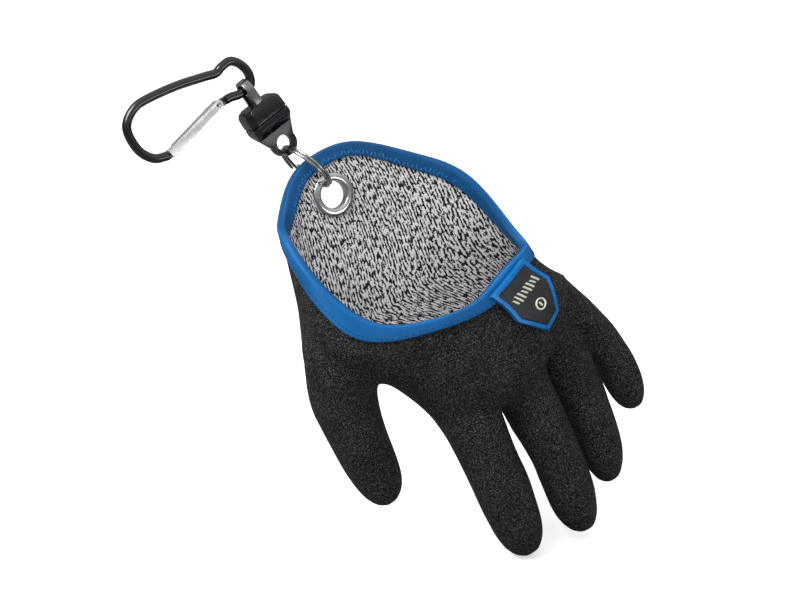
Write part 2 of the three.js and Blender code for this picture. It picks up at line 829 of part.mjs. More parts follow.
function bailShape(grow) {
  const foot = splitHeight + upperHalf - bailDepthIn - grow;
  const outer = bailSpan / 2 + grow;
  const inner = bailSpan / 2 - bailStrap - grow;
  const springing = bailTop - bailSpan / 2;
  const shape = new THREE.Shape();
  shape.moveTo(outer, foot);
  shape.lineTo(outer, springing);
  shape.absarc(0, springing, outer, 0, Math.PI, false);
  shape.lineTo(-outer, foot);
  shape.lineTo(-inner, foot);
  shape.lineTo(-inner, springing);
  shape.absarc(0, springing, inner, Math.PI, 0, true);
  shape.lineTo(inner, foot);
  shape.closePath();
  return shape;
}

function clipUpperSolid() {
  const low = splitHeight + splitGap / 2;
  const body = bodySolid([
    { high: low, wide: 0.97, deep: 0.96 },
    { high: low + 0.4, wide: 1.0, deep: 1.0 },
    { high: splitHeight + 0.72 * upperHalf, wide: 0.97, deep: 1.0 },
    { high: splitHeight + 0.92 * upperHalf, wide: 0.88, deep: 0.92 },
    { high: splitHeight + upperHalf, wide: 0.78, deep: 0.84 },
  ]);
  const slots = toSolid(plateYZ(bailShape(partGap), bailWidth + 2 * partGap));
  return body.subtract(slots);
}

// Carabiner, in its own frame: origin where the rod hangs in the bail, X away from the clip and
// Y up, so that its Z runs through it towards the palm side

const rodDrop = 1.2;
const rodShift = 1.1;
const rodHigh = bailTop - bailStrap - rodThickness / 2 - rodDrop;
const bailSeat = new THREE.Vector3(rodShift, 0, rodHigh);

function inCarabiner(place) {
  return new THREE.Vector3(place.along * carabinerLength, place.up * carabinerWidth, 0);
}
const pinPoint = inCarabiner(pinPlace);
const nosePoint = inCarabiner(nosePlace);

function rodGeometry() {
  const curve = new THREE.CatmullRomCurve3(rodRows.map(inCarabiner));
  return new THREE.ExtrudeGeometry(roundShape(rodThickness / 2, 8), { steps: 36, extrudePath: curve });
}

// A flat bar with round ends between two points in the carabiner's plane
function barGeometry(from, to, height, thickness, past) {
  const length = from.distanceTo(to) + past;
  const shape = new THREE.Shape();
  shape.moveTo(0, -height / 2);
  shape.lineTo(length, -height / 2);
  shape.lineTo(length, height / 2);
  shape.lineTo(0, height / 2);
  shape.absarc(0, 0, height / 2, Math.PI / 2, 1.5 * Math.PI, false);
  const geometry = new THREE.ExtrudeGeometry(shape, {
    depth: thickness, bevelEnabled: false, curveSegments: 8,
  });
  geometry.translate(0, 0, -thickness / 2);
  const angle = Math.atan2(to.y - from.y, to.x - from.x);
  geometry.rotateZ(angle);
  geometry.translate(from.x, from.y, 0);
  return geometry;
}

function pinGeometry(radius, length) {
  const pin = new THREE.CylinderGeometry(radius, radius, length, 14);
  pin.rotateX(Math.PI / 2);
  pin.translate(pinPoint.x, pinPoint.y, 0);
  return pin;
}

function carabinerFrameSolid() {
  const ends = [rodRows[0], rodRows[rodRows.length - 1]].map(inCarabiner);
  const tongueHeight = 0.86 * gateHeight;
  const hinge = toSolid(barGeometry(pinPoint, ends[1], tongueHeight, tongueThickness, 1));
  const nose = toSolid(barGeometry(nosePoint, ends[0], tongueHeight, tongueThickness, 1));
  const hole = toSolid(pinGeometry(pinDiameter / 2 + partGap, rodThickness * 2));
  return toSolid(rodGeometry()).add(hinge).add(nose).subtract(hole);
}

const gateDirection = new THREE.Vector3().subVectors(nosePoint, pinPoint).normalize();

function gateSolid() {
  const reach = 0.9;
  const tip = nosePoint.clone().addScaledVector(gateDirection, -reach + tongueThickness);
  const bar = toSolid(barGeometry(pinPoint, tip, gateHeight, gateThickness, 0));
  const slotWide = tongueThickness + 2 * partGap;
  const slotAt = (from, to, past) => toSolid(barGeometry(from, to, 2 * gateHeight, slotWide, past));
  const hingeSlot = slotAt(
    pinPoint.clone().addScaledVector(gateDirection, -gateHeight),
    pinPoint.clone().addScaledVector(gateDirection, gateHeight / 2 + partGap), 0,
  );
  const noseSlot = slotAt(
    tip.clone().addScaledVector(gateDirection, gateHeight),
    nosePoint.clone().addScaledVector(gateDirection, -gateHeight / 2 - partGap), 0,
  );
  const hole = toSolid(pinGeometry(pinDiameter / 2 + partGap, rodThickness * 2));
  return bar.subtract(hingeSlot).subtract(noseSlot).subtract(hole);
}

function pinSolid() {
  return toSolid(pinGeometry(pinDiameter / 2, gateThickness + 2 * pinHead));
}

// Assembly

const hole = eyeletHole();
const coating = gloveSolid(0, false).subtract(gloveSolid(coatWall, true)).subtract(hole);
const linerOut = coatWall + layerGap;
const liner = gloveSolid(linerOut, false).subtract(gloveSolid(wall, true)).subtract(hole);

const eyelet = new THREE.Group();
eyelet.position.copy(eyeletSeat.centre);
eyelet.quaternion.copy(eyeletSeat.turn);
eyelet.add(
  named('eyelet', eyeletGeometry(), finish.steel),
  named('eyelet_washer', washerGeometry(), finish.steel),
);

const splitRing = named('split_ring', ringGeometry(), finish.steel);
splitRing.position.copy(ringCentre);

const carabiner = new THREE.Group();
carabiner.position.copy(bailSeat);
const carabinerBasis = new THREE.Matrix4().makeBasis(
  new THREE.Vector3(-1, 0, 0), new THREE.Vector3(0, 0, 1), new THREE.Vector3(0, 1, 0),
);
carabiner.quaternion.setFromRotationMatrix(carabinerBasis);
carabiner.rotateZ(clipLean);
carabiner.add(
  named('carabiner_frame', toGeometry(carabinerFrameSolid()), finish.rod),
  named('carabiner_gate', toGeometry(gateSolid()), finish.gate),
  named('carabiner_pin', toGeometry(pinSolid()), finish.steel),
);

const clip = new THREE.Group();
clip.position.copy(clipSeat);
clip.rotation.y = -clipLean;
clip.add(
  named('clip_lower', toGeometry(clipLowerSolid()), finish.clip),
  named('clip_upper', toGeometry(clipUpperSolid()), finish.clip),
  named('clip_bail', plateYZ(bailShape(0), bailWidth), finish.gate),
  carabiner,
);

const glove = new THREE.Group();
glove.add(
  named('coating', toGeometry(coating), finish.coating),
  named('liner', toGeometry(liner), finish.knit),
  named('binding', bindingGeometry(), finish.binding),
  named('badge_frame', toGeometry(badgeFrameSolid()), finish.badge),
  named('badge_inlay', toGeometry(badgeInlaySolid()), finish.inlay),
  eyelet,
  splitRing,
  clip,
);

export default glove;
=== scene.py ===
"""Looks of a coated fishing glove with its release clip and carabiner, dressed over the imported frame."""

import logging
import math
from contextlib import contextmanager
from dataclasses import dataclass, field
from enum import Enum
from typing import Callable, Iterable, Iterator, Optional, Sequence

import bpy
import numpy as np
from mathutils import Matrix, Vector
from mathutils.bvhtree import BVHTree
from mathutils.noise import noise_vector, seed_set


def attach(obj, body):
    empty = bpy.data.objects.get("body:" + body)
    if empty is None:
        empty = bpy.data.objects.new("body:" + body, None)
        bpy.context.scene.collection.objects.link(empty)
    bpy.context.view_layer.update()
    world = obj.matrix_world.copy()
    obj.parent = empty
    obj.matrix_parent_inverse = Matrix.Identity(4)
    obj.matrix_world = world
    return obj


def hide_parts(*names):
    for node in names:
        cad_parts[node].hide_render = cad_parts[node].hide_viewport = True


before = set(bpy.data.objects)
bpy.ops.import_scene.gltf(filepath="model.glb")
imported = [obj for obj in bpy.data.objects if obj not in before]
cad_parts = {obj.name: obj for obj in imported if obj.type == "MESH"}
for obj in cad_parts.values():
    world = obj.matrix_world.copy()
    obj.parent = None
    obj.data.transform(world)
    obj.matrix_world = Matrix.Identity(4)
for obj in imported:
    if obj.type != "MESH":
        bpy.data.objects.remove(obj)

logging.basicConfig(level=logging.INFO, format="%(message)s")
LOG = logging.getLogger("glove")

MM = 0.001
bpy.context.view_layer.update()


class Body(Enum):
    """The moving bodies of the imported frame."""

    GLOVE = "glove"
    RELEASE = "release"
    GATE = "gate"


class Leg(Enum):
    """The two legs of the binding that a row of stitches can run on."""

    OUTSIDE = "outside"
    INSIDE = "inside"


# Helpers for objects, edit mode and curves


def only(obj: bpy.types.Object) -> None:
    """Selects one object and nothing else, and makes it active."""
    bpy.ops.object.select_all(action="DESELECT")
    obj.select_set(True)
    bpy.context.view_layer.objects.active = obj


@contextmanager
def editing(obj: bpy.types.Object) -> Iterator[None]:
    """Holds one object in edit mode with all of its mesh selected."""
    only(obj)
    bpy.ops.object.mode_set(mode="EDIT")
    bpy.ops.mesh.select_all(action="SELECT")
    yield
    bpy.ops.object.mode_set(mode="OBJECT")


def added(primitive: Callable[..., object], **values: object) -> bpy.types.Object:
    """Adds one of Blender's mesh primitives and returns it.

    Args:
        primitive: the operator that adds it.
        values: the operator's settings.

    Returns:
        The new object, the only one selected.
    """
    bpy.ops.object.select_all(action="DESELECT")
    primitive(**values)
    return bpy.context.active_object


def copy_of(node: str, name: str) -> bpy.types.Object:
    """Makes a free copy of a CAD node, its loose triangles merged and paired into quads.

    Args:
        node: name of the CAD node.
        name: name of the new piece.

    Returns:
        The new object, linked to the scene, with no material.
    """
    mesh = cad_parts[node].data.copy()
    mesh.materials.clear()
    obj = bpy.data.objects.new(name, mesh)
    bpy.context.scene.collection.objects.link(obj)
    only(obj)
    if mesh.has_custom_normals:
        bpy.ops.mesh.customdata_custom_splitnormals_clear()
    with editing(obj):
        bpy.ops.mesh.remove_doubles(threshold=1e-6)
        bpy.ops.mesh.tris_convert_to_quads(face_threshold=math.radians(50), shape_threshold=math.radians(70))
    return obj


def apply_modifier(obj: bpy.types.Object, kind: str, **values: object) -> None:
    """Adds a modifier with the values given and applies it.

    Args:
        obj: the piece.
        kind: Blender's type name of the modifier.
        values: its settings.
    """
    only(obj)
    modifier = obj.modifiers.new(kind.title(), kind)
    for key, value in values.items():
        setattr(modifier, key, value)
    bpy.ops.object.modifier_apply(modifier=modifier.name)


def subdivide(obj: bpy.types.Object, levels: int) -> None:
    """Rounds a piece with applied Catmull-Clark subdivision."""
    apply_modifier(obj, "SUBSURF", levels=levels, render_levels=levels)


def soften_edges(obj: bpy.types.Object, width: float, segments: int = 3) -> None:
    """Joins flat facets and rounds the edges between them.

    Args:
        obj: the piece.
        width: how far each rounding reaches, in metres.
        segments: facets across each rounding.
    """
    with editing(obj):
        bpy.ops.mesh.dissolve_limited(angle_limit=math.radians(1.5))
    apply_modifier(
        obj, "BEVEL", width=width, segments=segments, limit_method="ANGLE",
        angle_limit=math.radians(28), harden_normals=False,
    )


def smooth_shading(obj: bpy.types.Object, degrees: Optional[float] = None) -> None:
    """Shades a piece smooth, all over or up to an angle.

    Args:
        obj: the piece.
        degrees: edges sharper than this stay crisp.
    """
    only(obj)
    if degrees is None:
        bpy.ops.object.shade_smooth()
    else:
        bpy.ops.object.shade_smooth_by_angle(angle=math.radians(degrees))


def dress(obj: bpy.types.Object, finish: bpy.types.Material, body: Body) -> None:
    """Gives a piece its material and its body.

    Args:
        obj: the piece.
        finish: its material.
        body: the body that it rides on.
    """
    obj.data.materials.clear()
    obj.data.materials.append(finish)
    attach(obj, body.value)
    LOG.info("%s: %d faces on %s", obj.name, len(obj.data.polygons), body.value)


def join(objects: Sequence[bpy.types.Object], name: str) -> bpy.types.Object:
    """Joins objects into one piece.

    Args:
        objects: what to join.
        name: name of the piece.

    Returns:
        The joined object.
    """
    bpy.ops.object.select_all(action="DESELECT")
    for obj in objects:
        obj.select_set(True)
    bpy.context.view_layer.objects.active = objects[0]
    bpy.ops.object.join()
    piece = bpy.context.view_layer.objects.active
    piece.name = name
    return piece


def shaped(obj: bpy.types.Object, place: Callable[[Vector], Vector]) -> None:
    """Moves each vertex of a piece to where a function puts it.

    Args:
        obj: the piece, at the origin.
        place: from a vertex's first place to its new one.
    """
    for vertex in obj.data.vertices:
        vertex.co = place(vertex.co.copy())
    obj.data.update()


def search_tree(mesh: bpy.types.Mesh) -> BVHTree:
    """Returns a tree that finds the nearest point of a mesh."""
    return BVHTree.FromPolygons([v.co for v in mesh.vertices], [p.vertices for p in mesh.polygons])


def through(knots: Sequence[np.ndarray], steps: int) -> list[np.ndarray]:
    """Runs a smooth curve through a row of knots.

    Args:
        knots: the row, its first and last only giving the curve's direction.
        steps: points from one knot to the next.

    Returns:
        The points, from the second knot up to, but without, the last but one.
    """
    places = []
    for a, b, c, d in zip(knots, knots[1:], knots[2:], knots[3:]):
        v0, v1 = (c - a) / 2, (d - b) / 2
        for t in np.linspace(0, 1, steps, endpoint=False):
            cubic = (2 * b - 2 * c + v0 + v1) * t ** 3 + (-3 * b + 3 * c - 2 * v0 - v1) * t ** 2
            places.append(cubic + v0 * t + b)
    return places


# The glove's wall, so that stitches, badge marks and the knit follow it


@dataclass
class Wall:
    """The palm's tube and the edge of its hand entry, unrolled. Sizes in millimetres."""

    palm_width: float = 122.0
    palm_depth: float = 54.0
    palm_length: float = 100.0
    mouth_rise: float = 100.0
    squareness: float = 2.8
    bow: float = 24.0
    bow_width: float = 56.0
    arch_start: float = -0.45
    arch_middle: float = 0.057
    thickness: float = 2.3
    binding_cloth: float = 1.0
    seat_gap: float = 0.3
    edge_steps: int = 24
    # high, shift, wide, deep, back
    rows: Sequence[Sequence[float]] = (
        (0.80, 0.020, 0.877, 0.98, 0.00),
        (0.43, 0.030, 0.900, 1.00, 0.00),
        (0.14, -0.004, 0.992, 1.00, 0.00),
        (-0.02, -0.035, 1.045, 1.00, 0.01),
        (-0.14, -0.066, 1.098, 0.98, 0.02),
        (-0.27, -0.084, 1.127, 0.97, 0.03),
        (-0.38, -0.029, 1.025, 0.95, 0.04),
        (-0.50, 0.061, 0.893, 0.90, 0.05),
        (-0.64, 0.102, 0.877, 0.90, 0.05),
        (-0.78, 0.133, 0.881, 0.84, 0.08),
        (-1.00, 0.172, 0.885, 0.72, 0.12),
    )
    # around, high
    mouth: Sequence[Sequence[float]] = (
        (0.000, -0.290), (0.020, -0.110), (0.042, 0.070), (0.075, 0.210), (0.120, 0.340),
        (0.165, 0.475), (0.215, 0.580), (0.280, 0.620), (0.340, 0.610), (0.388, 0.540),
        (0.430, 0.465), (0.480, 0.425), (0.510, 0.355), (0.537, 0.240), (0.570, 0.095),
        (0.610, -0.065), (0.655, -0.190), (0.712, -0.300), (0.785, -0.390), (0.870, -0.345),
        (0.940, -0.340), (0.982, -0.355),
    )
    turns: np.ndarray = field(init=False)
    shares: np.ndarray = field(init=False)
    girth: float = field(init=False)

    def __post_init__(self) -> None:
        """Measures the girth of the tube round its oval."""
        self.turns = np.linspace(0, 2 * math.pi, 721)
        across, deep = self.oval(self.turns)
        steps = np.hypot(np.diff(across) * self.palm_width / 2, np.diff(deep) * self.palm_depth / 2)
        lengths = np.concatenate([[0.0], np.cumsum(steps)])
        self.girth = float(lengths[-1])
        self.shares = lengths / self.girth

    def oval(self, turn: np.ndarray) -> tuple[np.ndarray, np.ndarray]:
        """Returns the squared oval's across and deep at each turn."""
        power = 2 / self.squareness
        cos, sin = np.cos(turn), np.sin(turn)
        return np.sign(cos) * np.abs(cos) ** power, np.sign(sin) * np.abs(sin) ** power

    def row(self, high: float) -> Sequence[float]:
        """Returns shift, wide, deep and back at a height given as a share of the palm's length."""
        table = np.array(self.rows)[::-1]
        return [float(np.interp(high, table[:, 0], table[:, k])) for k in range(1, 5)]

    def point(self, share: float, height: float, inset: float) -> Vector:
        """Finds a point of the wall.

        Args:
            share: share of the girth, from the little-finger side over the palm side.
            height: height in the unrolled wall, in millimetres.
            inset: depth into the wall, in millimetres.

        Returns:
            The point, in metres.
        """
        shift, wide, deep, back = self.row(height / self.palm_length)
        turn = np.interp(share % 1.0, self.shares, self.turns)
        across, depth = self.oval(np.array(turn))
        half_wide = wide * self.palm_width / 2
        x = shift * self.palm_width + (half_wide - inset) * float(across)
        y = back * self.palm_depth + (deep * self.palm_depth / 2 - inset) * float(depth)
        z = height
        part = (height / self.palm_length - self.arch_start) / (-1 - self.arch_start)
        if part > 0:
            outer = shift * self.palm_width + half_wide * float(across)
            sag = (outer - self.arch_middle * self.palm_width) / self.bow_width
            knuckle = self.bow * sag * sag - self.palm_length
            z = (1 - part) * self.arch_start * self.palm_length + part * knuckle
        return Vector((x, y, z)) * MM

    def share_at(self, place: Vector) -> float:
        """Returns the share of the girth that a point in metres lies at."""
        shift, wide, deep, back = self.row(place.z / MM / self.palm_length)
        across = (place.x / MM - shift * self.palm_width) / (wide * self.palm_width / 2)
        depth = (place.y / MM - back * self.palm_depth) / (deep * self.palm_depth / 2)
        power = self.squareness / 2
        turn = math.atan2(
            math.copysign(abs(depth) ** power, depth), math.copysign(abs(across) ** power, across)
        )
        return float(np.interp(turn % (2 * math.pi), self.turns, self.shares))

    def inside(self, place: Vector, depth: float) -> float:
        """Tells how far a point in metres is past a depth of the wall, as 0 to 1 over a millimetre."""
        shift, _, _, back = self.row(place.z / MM / self.palm_length)
        middle = Vector((shift * self.palm_width, back * self.palm_depth)) * MM
        there = self.point(self.share_at(place), place.z / MM, depth)
        gap = (there.xy - middle).length - (place.xy - middle).length
        return min(max(gap / MM + 0.5, 0.0), 1.0)

    def edge(self, count: int) -> list[tuple[np.ndarray, np.ndarray]]:
        """Walks the edge of the hand entry.

        Args:
            count: number of stations, evenly spaced along the edge.

        Returns:
            For each, its place in the unrolled wall and the direction down the wall.
        """
        base = np.array([(a * self.girth, h * self.mouth_rise) for a, h in self.mouth])
        lap = np.array([self.girth, 0.0])
        knots = np.vstack([base[-1:] - lap, base, base[:2] + lap])
        dense = through(knots, self.edge_steps)
        dense = np.array(dense + [dense[0] + lap])
        steps = np.hypot(*np.diff(dense, axis=0).T)
        lengths = np.concatenate([[0.0], np.cumsum(steps)])
        stations = []
        for wanted in np.linspace(0, lengths[-1], count, endpoint=False):
            i = int(np.searchsorted(lengths, wanted, side="right")) - 1
            part = (wanted - lengths[i]) / steps[i]
            along = (dense[i + 1] - dense[i]) / steps[i]
            place = dense[i] + part * (dense[i + 1] - dense[i])
            stations.append((place, np.array([along[1], -along[0]])))
        return stations

    def edge_point(self, station: tuple[np.ndarray, np.ndarray], down: float, inset: float) -> Vector:
        """Returns a point down the wall from a station of the edge, in metres."""
        place = station[0] + down * station[1]
        return self.point(place[0] / self.girth, place[1], inset)


# Shader tools


class Shader:
    """A material's node tree with short calls for adding and linking nodes."""

    def __init__(self, name: str) -> None:
        """Makes an empty material with a Principled shader."""
        self.material = bpy.data.materials.new(name)
        self.material.use_nodes = True
        self.tree = self.material.node_tree
        self.tree.nodes.clear()
        self.surface = self.add("ShaderNodeBsdfPrincipled")
        output = self.add("ShaderNodeOutputMaterial")
        self.link(self.surface.outputs["BSDF"], output.inputs["Surface"])

    def add(self, kind: str, **values: object) -> bpy.types.Node:
        """Adds a node and sets its properties."""
        node = self.tree.nodes.new(kind)
        for key, value in values.items():
            setattr(node, key, value)
        return node

    def link(self, start: bpy.types.NodeSocket, end: bpy.types.NodeSocket) -> None:
        """Links two sockets."""
        self.tree.links.new(start, end)

    def feed(self, socket: bpy.types.NodeSocket, value: object) -> None:
        """Links a socket to another socket, or sets it to a value."""
        if isinstance(value, bpy.types.NodeSocket):
            self.link(value, socket)
        else:
            socket.default_value = value

    def place(self) -> bpy.types.NodeSocket:
        """Returns the piece's own coordinates."""
        return self.add("ShaderNodeTexCoord").outputs["Object"]

    def scaled(
        self, source: bpy.types.NodeSocket, scale: Sequence[float], turn: Sequence[float] = (0, 0, 0),
    ) -> bpy.types.NodeSocket:
        """Scales and turns a vector.

        Args:
            source: the vector socket.
            scale: factors along its three axes.
            turn: angles about them, in radians.

        Returns:
            The new vector socket.
        """
        mapping = self.add("ShaderNodeMapping")
        mapping.inputs["Scale"].default_value = scale
        mapping.inputs["Rotation"].default_value = turn
        self.link(source, mapping.inputs["Vector"])
        return mapping.outputs["Vector"]

    def noise(
        self, source: bpy.types.NodeSocket, scale: float, detail: float = 2.0, roughness: float = 0.5,
    ) -> bpy.types.NodeSocket:
        """Returns a noise over a vector."""
        node = self.add("ShaderNodeTexNoise")
        node.inputs["Scale"].default_value = scale
        node.inputs["Detail"].default_value = detail
        node.inputs["Roughness"].default_value = roughness
        self.link(source, node.inputs["Vector"])
        return node.outputs["Fac"]

    def wave(
        self, source: bpy.types.NodeSocket, scale: float, distortion: float = 0.0,
    ) -> bpy.types.NodeSocket:
        """Returns sine bands along a vector's X."""
        node = self.add("ShaderNodeTexWave", wave_type="BANDS", bands_direction="X")
        node.inputs["Scale"].default_value = scale
        node.inputs["Distortion"].default_value = distortion
        self.link(source, node.inputs["Vector"])
        return node.outputs["Fac"]

    def maths(self, operation: str, a: object, b: object = 0.0) -> bpy.types.NodeSocket:
        """Returns a value worked out from two sockets or numbers."""
        node = self.add("ShaderNodeMath", operation=operation)
        for socket, value in zip(node.inputs, (a, b)):
            self.feed(socket, value)
        return node.outputs["Value"]

    def blend(self, *parts: tuple[bpy.types.NodeSocket, float]) -> bpy.types.NodeSocket:
        """Returns the sum of sockets, each times its weight."""
        weighed = [self.maths("MULTIPLY", socket, weight) for socket, weight in parts]
        total = weighed[0]
        for part in weighed[1:]:
            total = self.maths("ADD", total, part)
        return total

    def centred(self, source: bpy.types.NodeSocket) -> bpy.types.NodeSocket:
        """Returns a 0 to 1 value moved to lie about zero."""
        return self.maths("SUBTRACT", source, 0.5)

    def ramp(
        self, source: bpy.types.NodeSocket, stops: Sequence[tuple[float, Sequence[float]]],
    ) -> bpy.types.NodeSocket:
        """Turns a value into a colour.

        Args:
            source: the value socket.
            stops: positions with their colours.

        Returns:
            The colour socket.
        """
        node = self.add("ShaderNodeValToRGB")
        elements = node.color_ramp.elements
        while len(elements) < len(stops):
            elements.new(0.5)
        for element, (position, color) in zip(elements, stops):
            element.position = position
            element.color = (*color, 1.0)
        self.link(source, node.inputs["Fac"])
        return node.outputs["Color"]

    def group(self, tree: bpy.types.NodeTree, **values: object) -> bpy.types.Node:
        """Adds a shared group and sets its inputs."""
        node = self.add("ShaderNodeGroup", node_tree=tree)
        for key, value in values.items():
            self.feed(node.inputs[key], value)
        return node

    def bump(self, height: bpy.types.NodeSocket, distance: float, strength: float = 1.0) -> None:
        """Raises the surface's shading by a height socket."""
        node = self.add("ShaderNodeBump")
        node.inputs["Strength"].default_value = strength
        node.inputs["Distance"].default_value = distance
        self.link(height, node.inputs["Height"])
        self.link(node.outputs["Normal"], self.surface.inputs["Normal"])

    def set(self, **values: object) -> None:
        """Sets sockets of the Principled shader, their names written with underscores."""
        for key, value in values.items():
            self.feed(self.surface.inputs[key.replace("_", " ")], value)


def fine_wear_group() -> bpy.types.NodeTree:
    """Builds the group that breaks up a moulded or metal finish.

    Returns:
        A tree with inputs Scale, Low and High, and outputs Roughness and Height.
    """
    tree = bpy.data.node_groups.new("fine_wear", "ShaderNodeTree")
    for name, value in (("Scale", 900.0), ("Low", 0.2), ("High", 0.3)):
        socket = tree.interface.new_socket(name, in_out="INPUT", socket_type="NodeSocketFloat")
        socket.default_value = value
    for name in ("Roughness", "Height"):
        tree.interface.new_socket(name, in_out="OUTPUT", socket_type="NodeSocketFloat")
    nodes, links = tree.nodes, tree.links
    start, end = nodes.new("NodeGroupInput"), nodes.new("NodeGroupOutput")
    place = nodes.new("ShaderNodeTexCoord")
    noise = nodes.new("ShaderNodeTexNoise")
    noise.inputs["Detail"].default_value = 3.0
    spread = nodes.new("ShaderNodeMapRange")
    spread.inputs["From Min"].default_value = 0.3
    spread.inputs["From Max"].default_value = 0.7
    links.new(place.outputs["Object"], noise.inputs["Vector"])
    links.new(start.outputs["Scale"], noise.inputs["Scale"])
    links.new(noise.outputs["Fac"], spread.inputs["Value"])
    links.new(start.outputs["Low"], spread.inputs["To Min"])
    links.new(start.outputs["High"], spread.inputs["To Max"])
    links.new(spread.outputs["Result"], end.inputs["Roughness"])
    links.new(noise.outputs["Fac"], end.inputs["Height"])
    return tree


FINE_WEAR = fine_wear_group()


# Finishes


@dataclass(frozen=True)
class SandyCoating:
    """Matt black latex with a sandy grain."""

    dark: Sequence[float] = (0.0012, 0.0012, 0.0015)
    middle: Sequence[float] = (0.008, 0.008, 0.009)
    light: Sequence[float] = (0.125, 0.125, 0.130)
    grain: float = 1600.0
    patches: float = 55.0
    patch_weight: float = 0.07
    creases: float = 42.0
    relief: float = 0.0012

    def build(self) -> bpy.types.Material:
        """Returns the material."""
        shader = Shader("sandy_coating")
        place = shader.place()
        grain = shader.noise(place, self.grain, 2.0, 0.6)
        patches = shader.centred(shader.noise(place, self.patches, 3.0, 0.5))
        mixed = shader.blend((grain, 1.0), (patches, self.patch_weight))
        color = shader.ramp(mixed, ((0.42, self.dark), (0.51, self.middle), (0.66, self.light)))
        creases = shader.noise(shader.scaled(place, (1, 1, 0.45)), self.creases, 4.0, 0.55)
        height = shader.blend((creases, 2.2), (grain, 0.9))
        shader.set(Base_Color=color, Roughness=0.55, Specular_IOR_Level=0.14)
        shader.bump(height, self.relief, 0.9)
        return shader.material


@dataclass(frozen=True)
class HeatherKnit:
    """Light grey knit with black flecks in its wales, on the piece's own unrolled coordinates.

    The wale is in millimetres, and bands is how many bands a wave of scale 1 has in one unit.
    """

    light: Sequence[float] = (0.72, 0.71, 0.72)
    middle: Sequence[float] = (0.20, 0.20, 0.205)
    dark: Sequence[float] = (0.012, 0.012, 0.014)
    wale: float = 1.8
    bands: float = 3.1831
    relief: float = 0.00035

    def build(self) -> bpy.types.Material:
        """Returns the material."""
        shader = Shader("heather_knit")
        uv = shader.add("ShaderNodeUVMap", uv_map="unrolled").outputs["UV"]
        flecks = shader.noise(shader.scaled(uv, (0.74, 0.33, 1)), 1.0, 1.5, 0.5)
        broken = shader.noise(shader.scaled(uv, (1.6, 1.0, 1)), 1.0, 1.0, 0.5)
        wales = shader.wave(shader.scaled(uv, (1 / self.wale / self.bands, 0.0, 1)), 1.0)
        rows = shader.wave(shader.scaled(uv, (1 / self.bands, 1, 1), (0, 0, math.radians(-90))), 0.36)
        tone = shader.blend((flecks, 1.0), (shader.centred(broken), 0.45), (shader.centred(wales), 0.15))
        color = shader.ramp(tone, ((0.455, self.dark), (0.485, self.middle), (0.515, self.light)))
        height = shader.blend((wales, 1.0), (tone, 1.6), (rows, 0.3))
        shader.set(Base_Color=color, Roughness=0.9, Specular_IOR_Level=0.2)
        shader.bump(height, self.relief, 0.7)
        return shader.material


@dataclass(frozen=True)
class TwillTape:
    """Blue tape with a fine diagonal twill, its inside leg darkened as painted shade."""

    low: Sequence[float] = (0.0002, 0.064, 0.22)
    high: Sequence[float] = (0.0004, 0.170, 0.50)
    # how much the inside leg's colour is darkened, as painted shade
    inside_painted_shade: float = 0.42
    twill: float = 520.0
    slant: float = math.radians(38)
    threads: float = 1500.0
    relief: float = 0.00035

    def build(self) -> bpy.types.Material:
        """Returns the material."""
        shader = Shader("twill_tape")
        place = shader.place()
        twill = shader.wave(shader.scaled(place, (1, 1, 1), (0, self.slant, 0)), self.twill, 0.6)
        threads = shader.noise(shader.scaled(place, (1, 1, 2.2)), self.threads, 2.0, 0.5)
        shades = shader.noise(place, 60.0, 3.0, 0.5)
        tone = shader.blend((twill, 0.38), (threads, 0.32), (shades, 0.45))
        color = shader.ramp(tone, ((0.30, self.low), (0.78, self.high)))
        height = shader.blend((twill, 0.5), (shades, 3.0))
        # Painted shade: the colour on the tape's inside leg is dimmed, standing in for the shadow inside the
        # hand entry.
        shaded_inside_leg = shader.add("ShaderNodeAttribute", attribute_name="shaded_inside_leg")
        unshaded_share = shader.maths("SUBTRACT", 1.0, shader.maths("MULTIPLY", shaded_inside_leg.outputs["Fac"], self.inside_painted_shade))
        painted_shade_color = shader.add("ShaderNodeVectorMath", operation="SCALE")
        shader.link(color, painted_shade_color.inputs[0])
        shader.link(unshaded_share, painted_shade_color.inputs["Scale"])
        shader.set(Base_Color=painted_shade_color.outputs["Vector"], Roughness=0.48, Specular_IOR_Level=0.30)
        shader.bump(height, self.relief, 0.6)
        return shader.material


@dataclass(frozen=True)
class Moulded:
    """A moulded or metal finish with fine wear."""

    name: str
    color: Sequence[float]
    low: float
    high: float
    metallic: float = 0.0
    coat: float = 0.0
    relief: float = 0.00002
    scale: float = 900.0
    shine: float = 0.5

    def build(self) -> bpy.types.Material:
        """Returns the material."""
        shader = Shader(self.name)
        wear = shader.group(FINE_WEAR, Scale=self.scale, Low=self.low, High=self.high)
        tint = shader.noise(shader.place(), 240.0, 2.0)
        darker = tuple(0.82 * c for c in self.color)
        shader.set(Base_Color=shader.ramp(tint, ((0.35, darker), (0.65, self.color))))
        shader.set(Roughness=wear.outputs["Roughness"], Metallic=self.metallic)
        shader.set(Coat_Weight=self.coat, Coat_Roughness=0.08, Specular_IOR_Level=self.shine)
        shader.bump(wear.outputs["Height"], self.relief, 0.5)
        return shader.material


@dataclass(frozen=True)
class Finishes:
    """Every material of the glove, built once."""

    coating: bpy.types.Material
    knit: bpy.types.Material
    tape: bpy.types.Material
    thread_and_hole_shade: bpy.types.Material
    fringe: bpy.types.Material
    rim: bpy.types.Material
    panel: bpy.types.Material
    mark: bpy.types.Material
    steel: bpy.types.Material
    wire: bpy.types.Material
    moulding: bpy.types.Material
    strap: bpy.types.Material
    rod: bpy.types.Material
    gate: bpy.types.Material


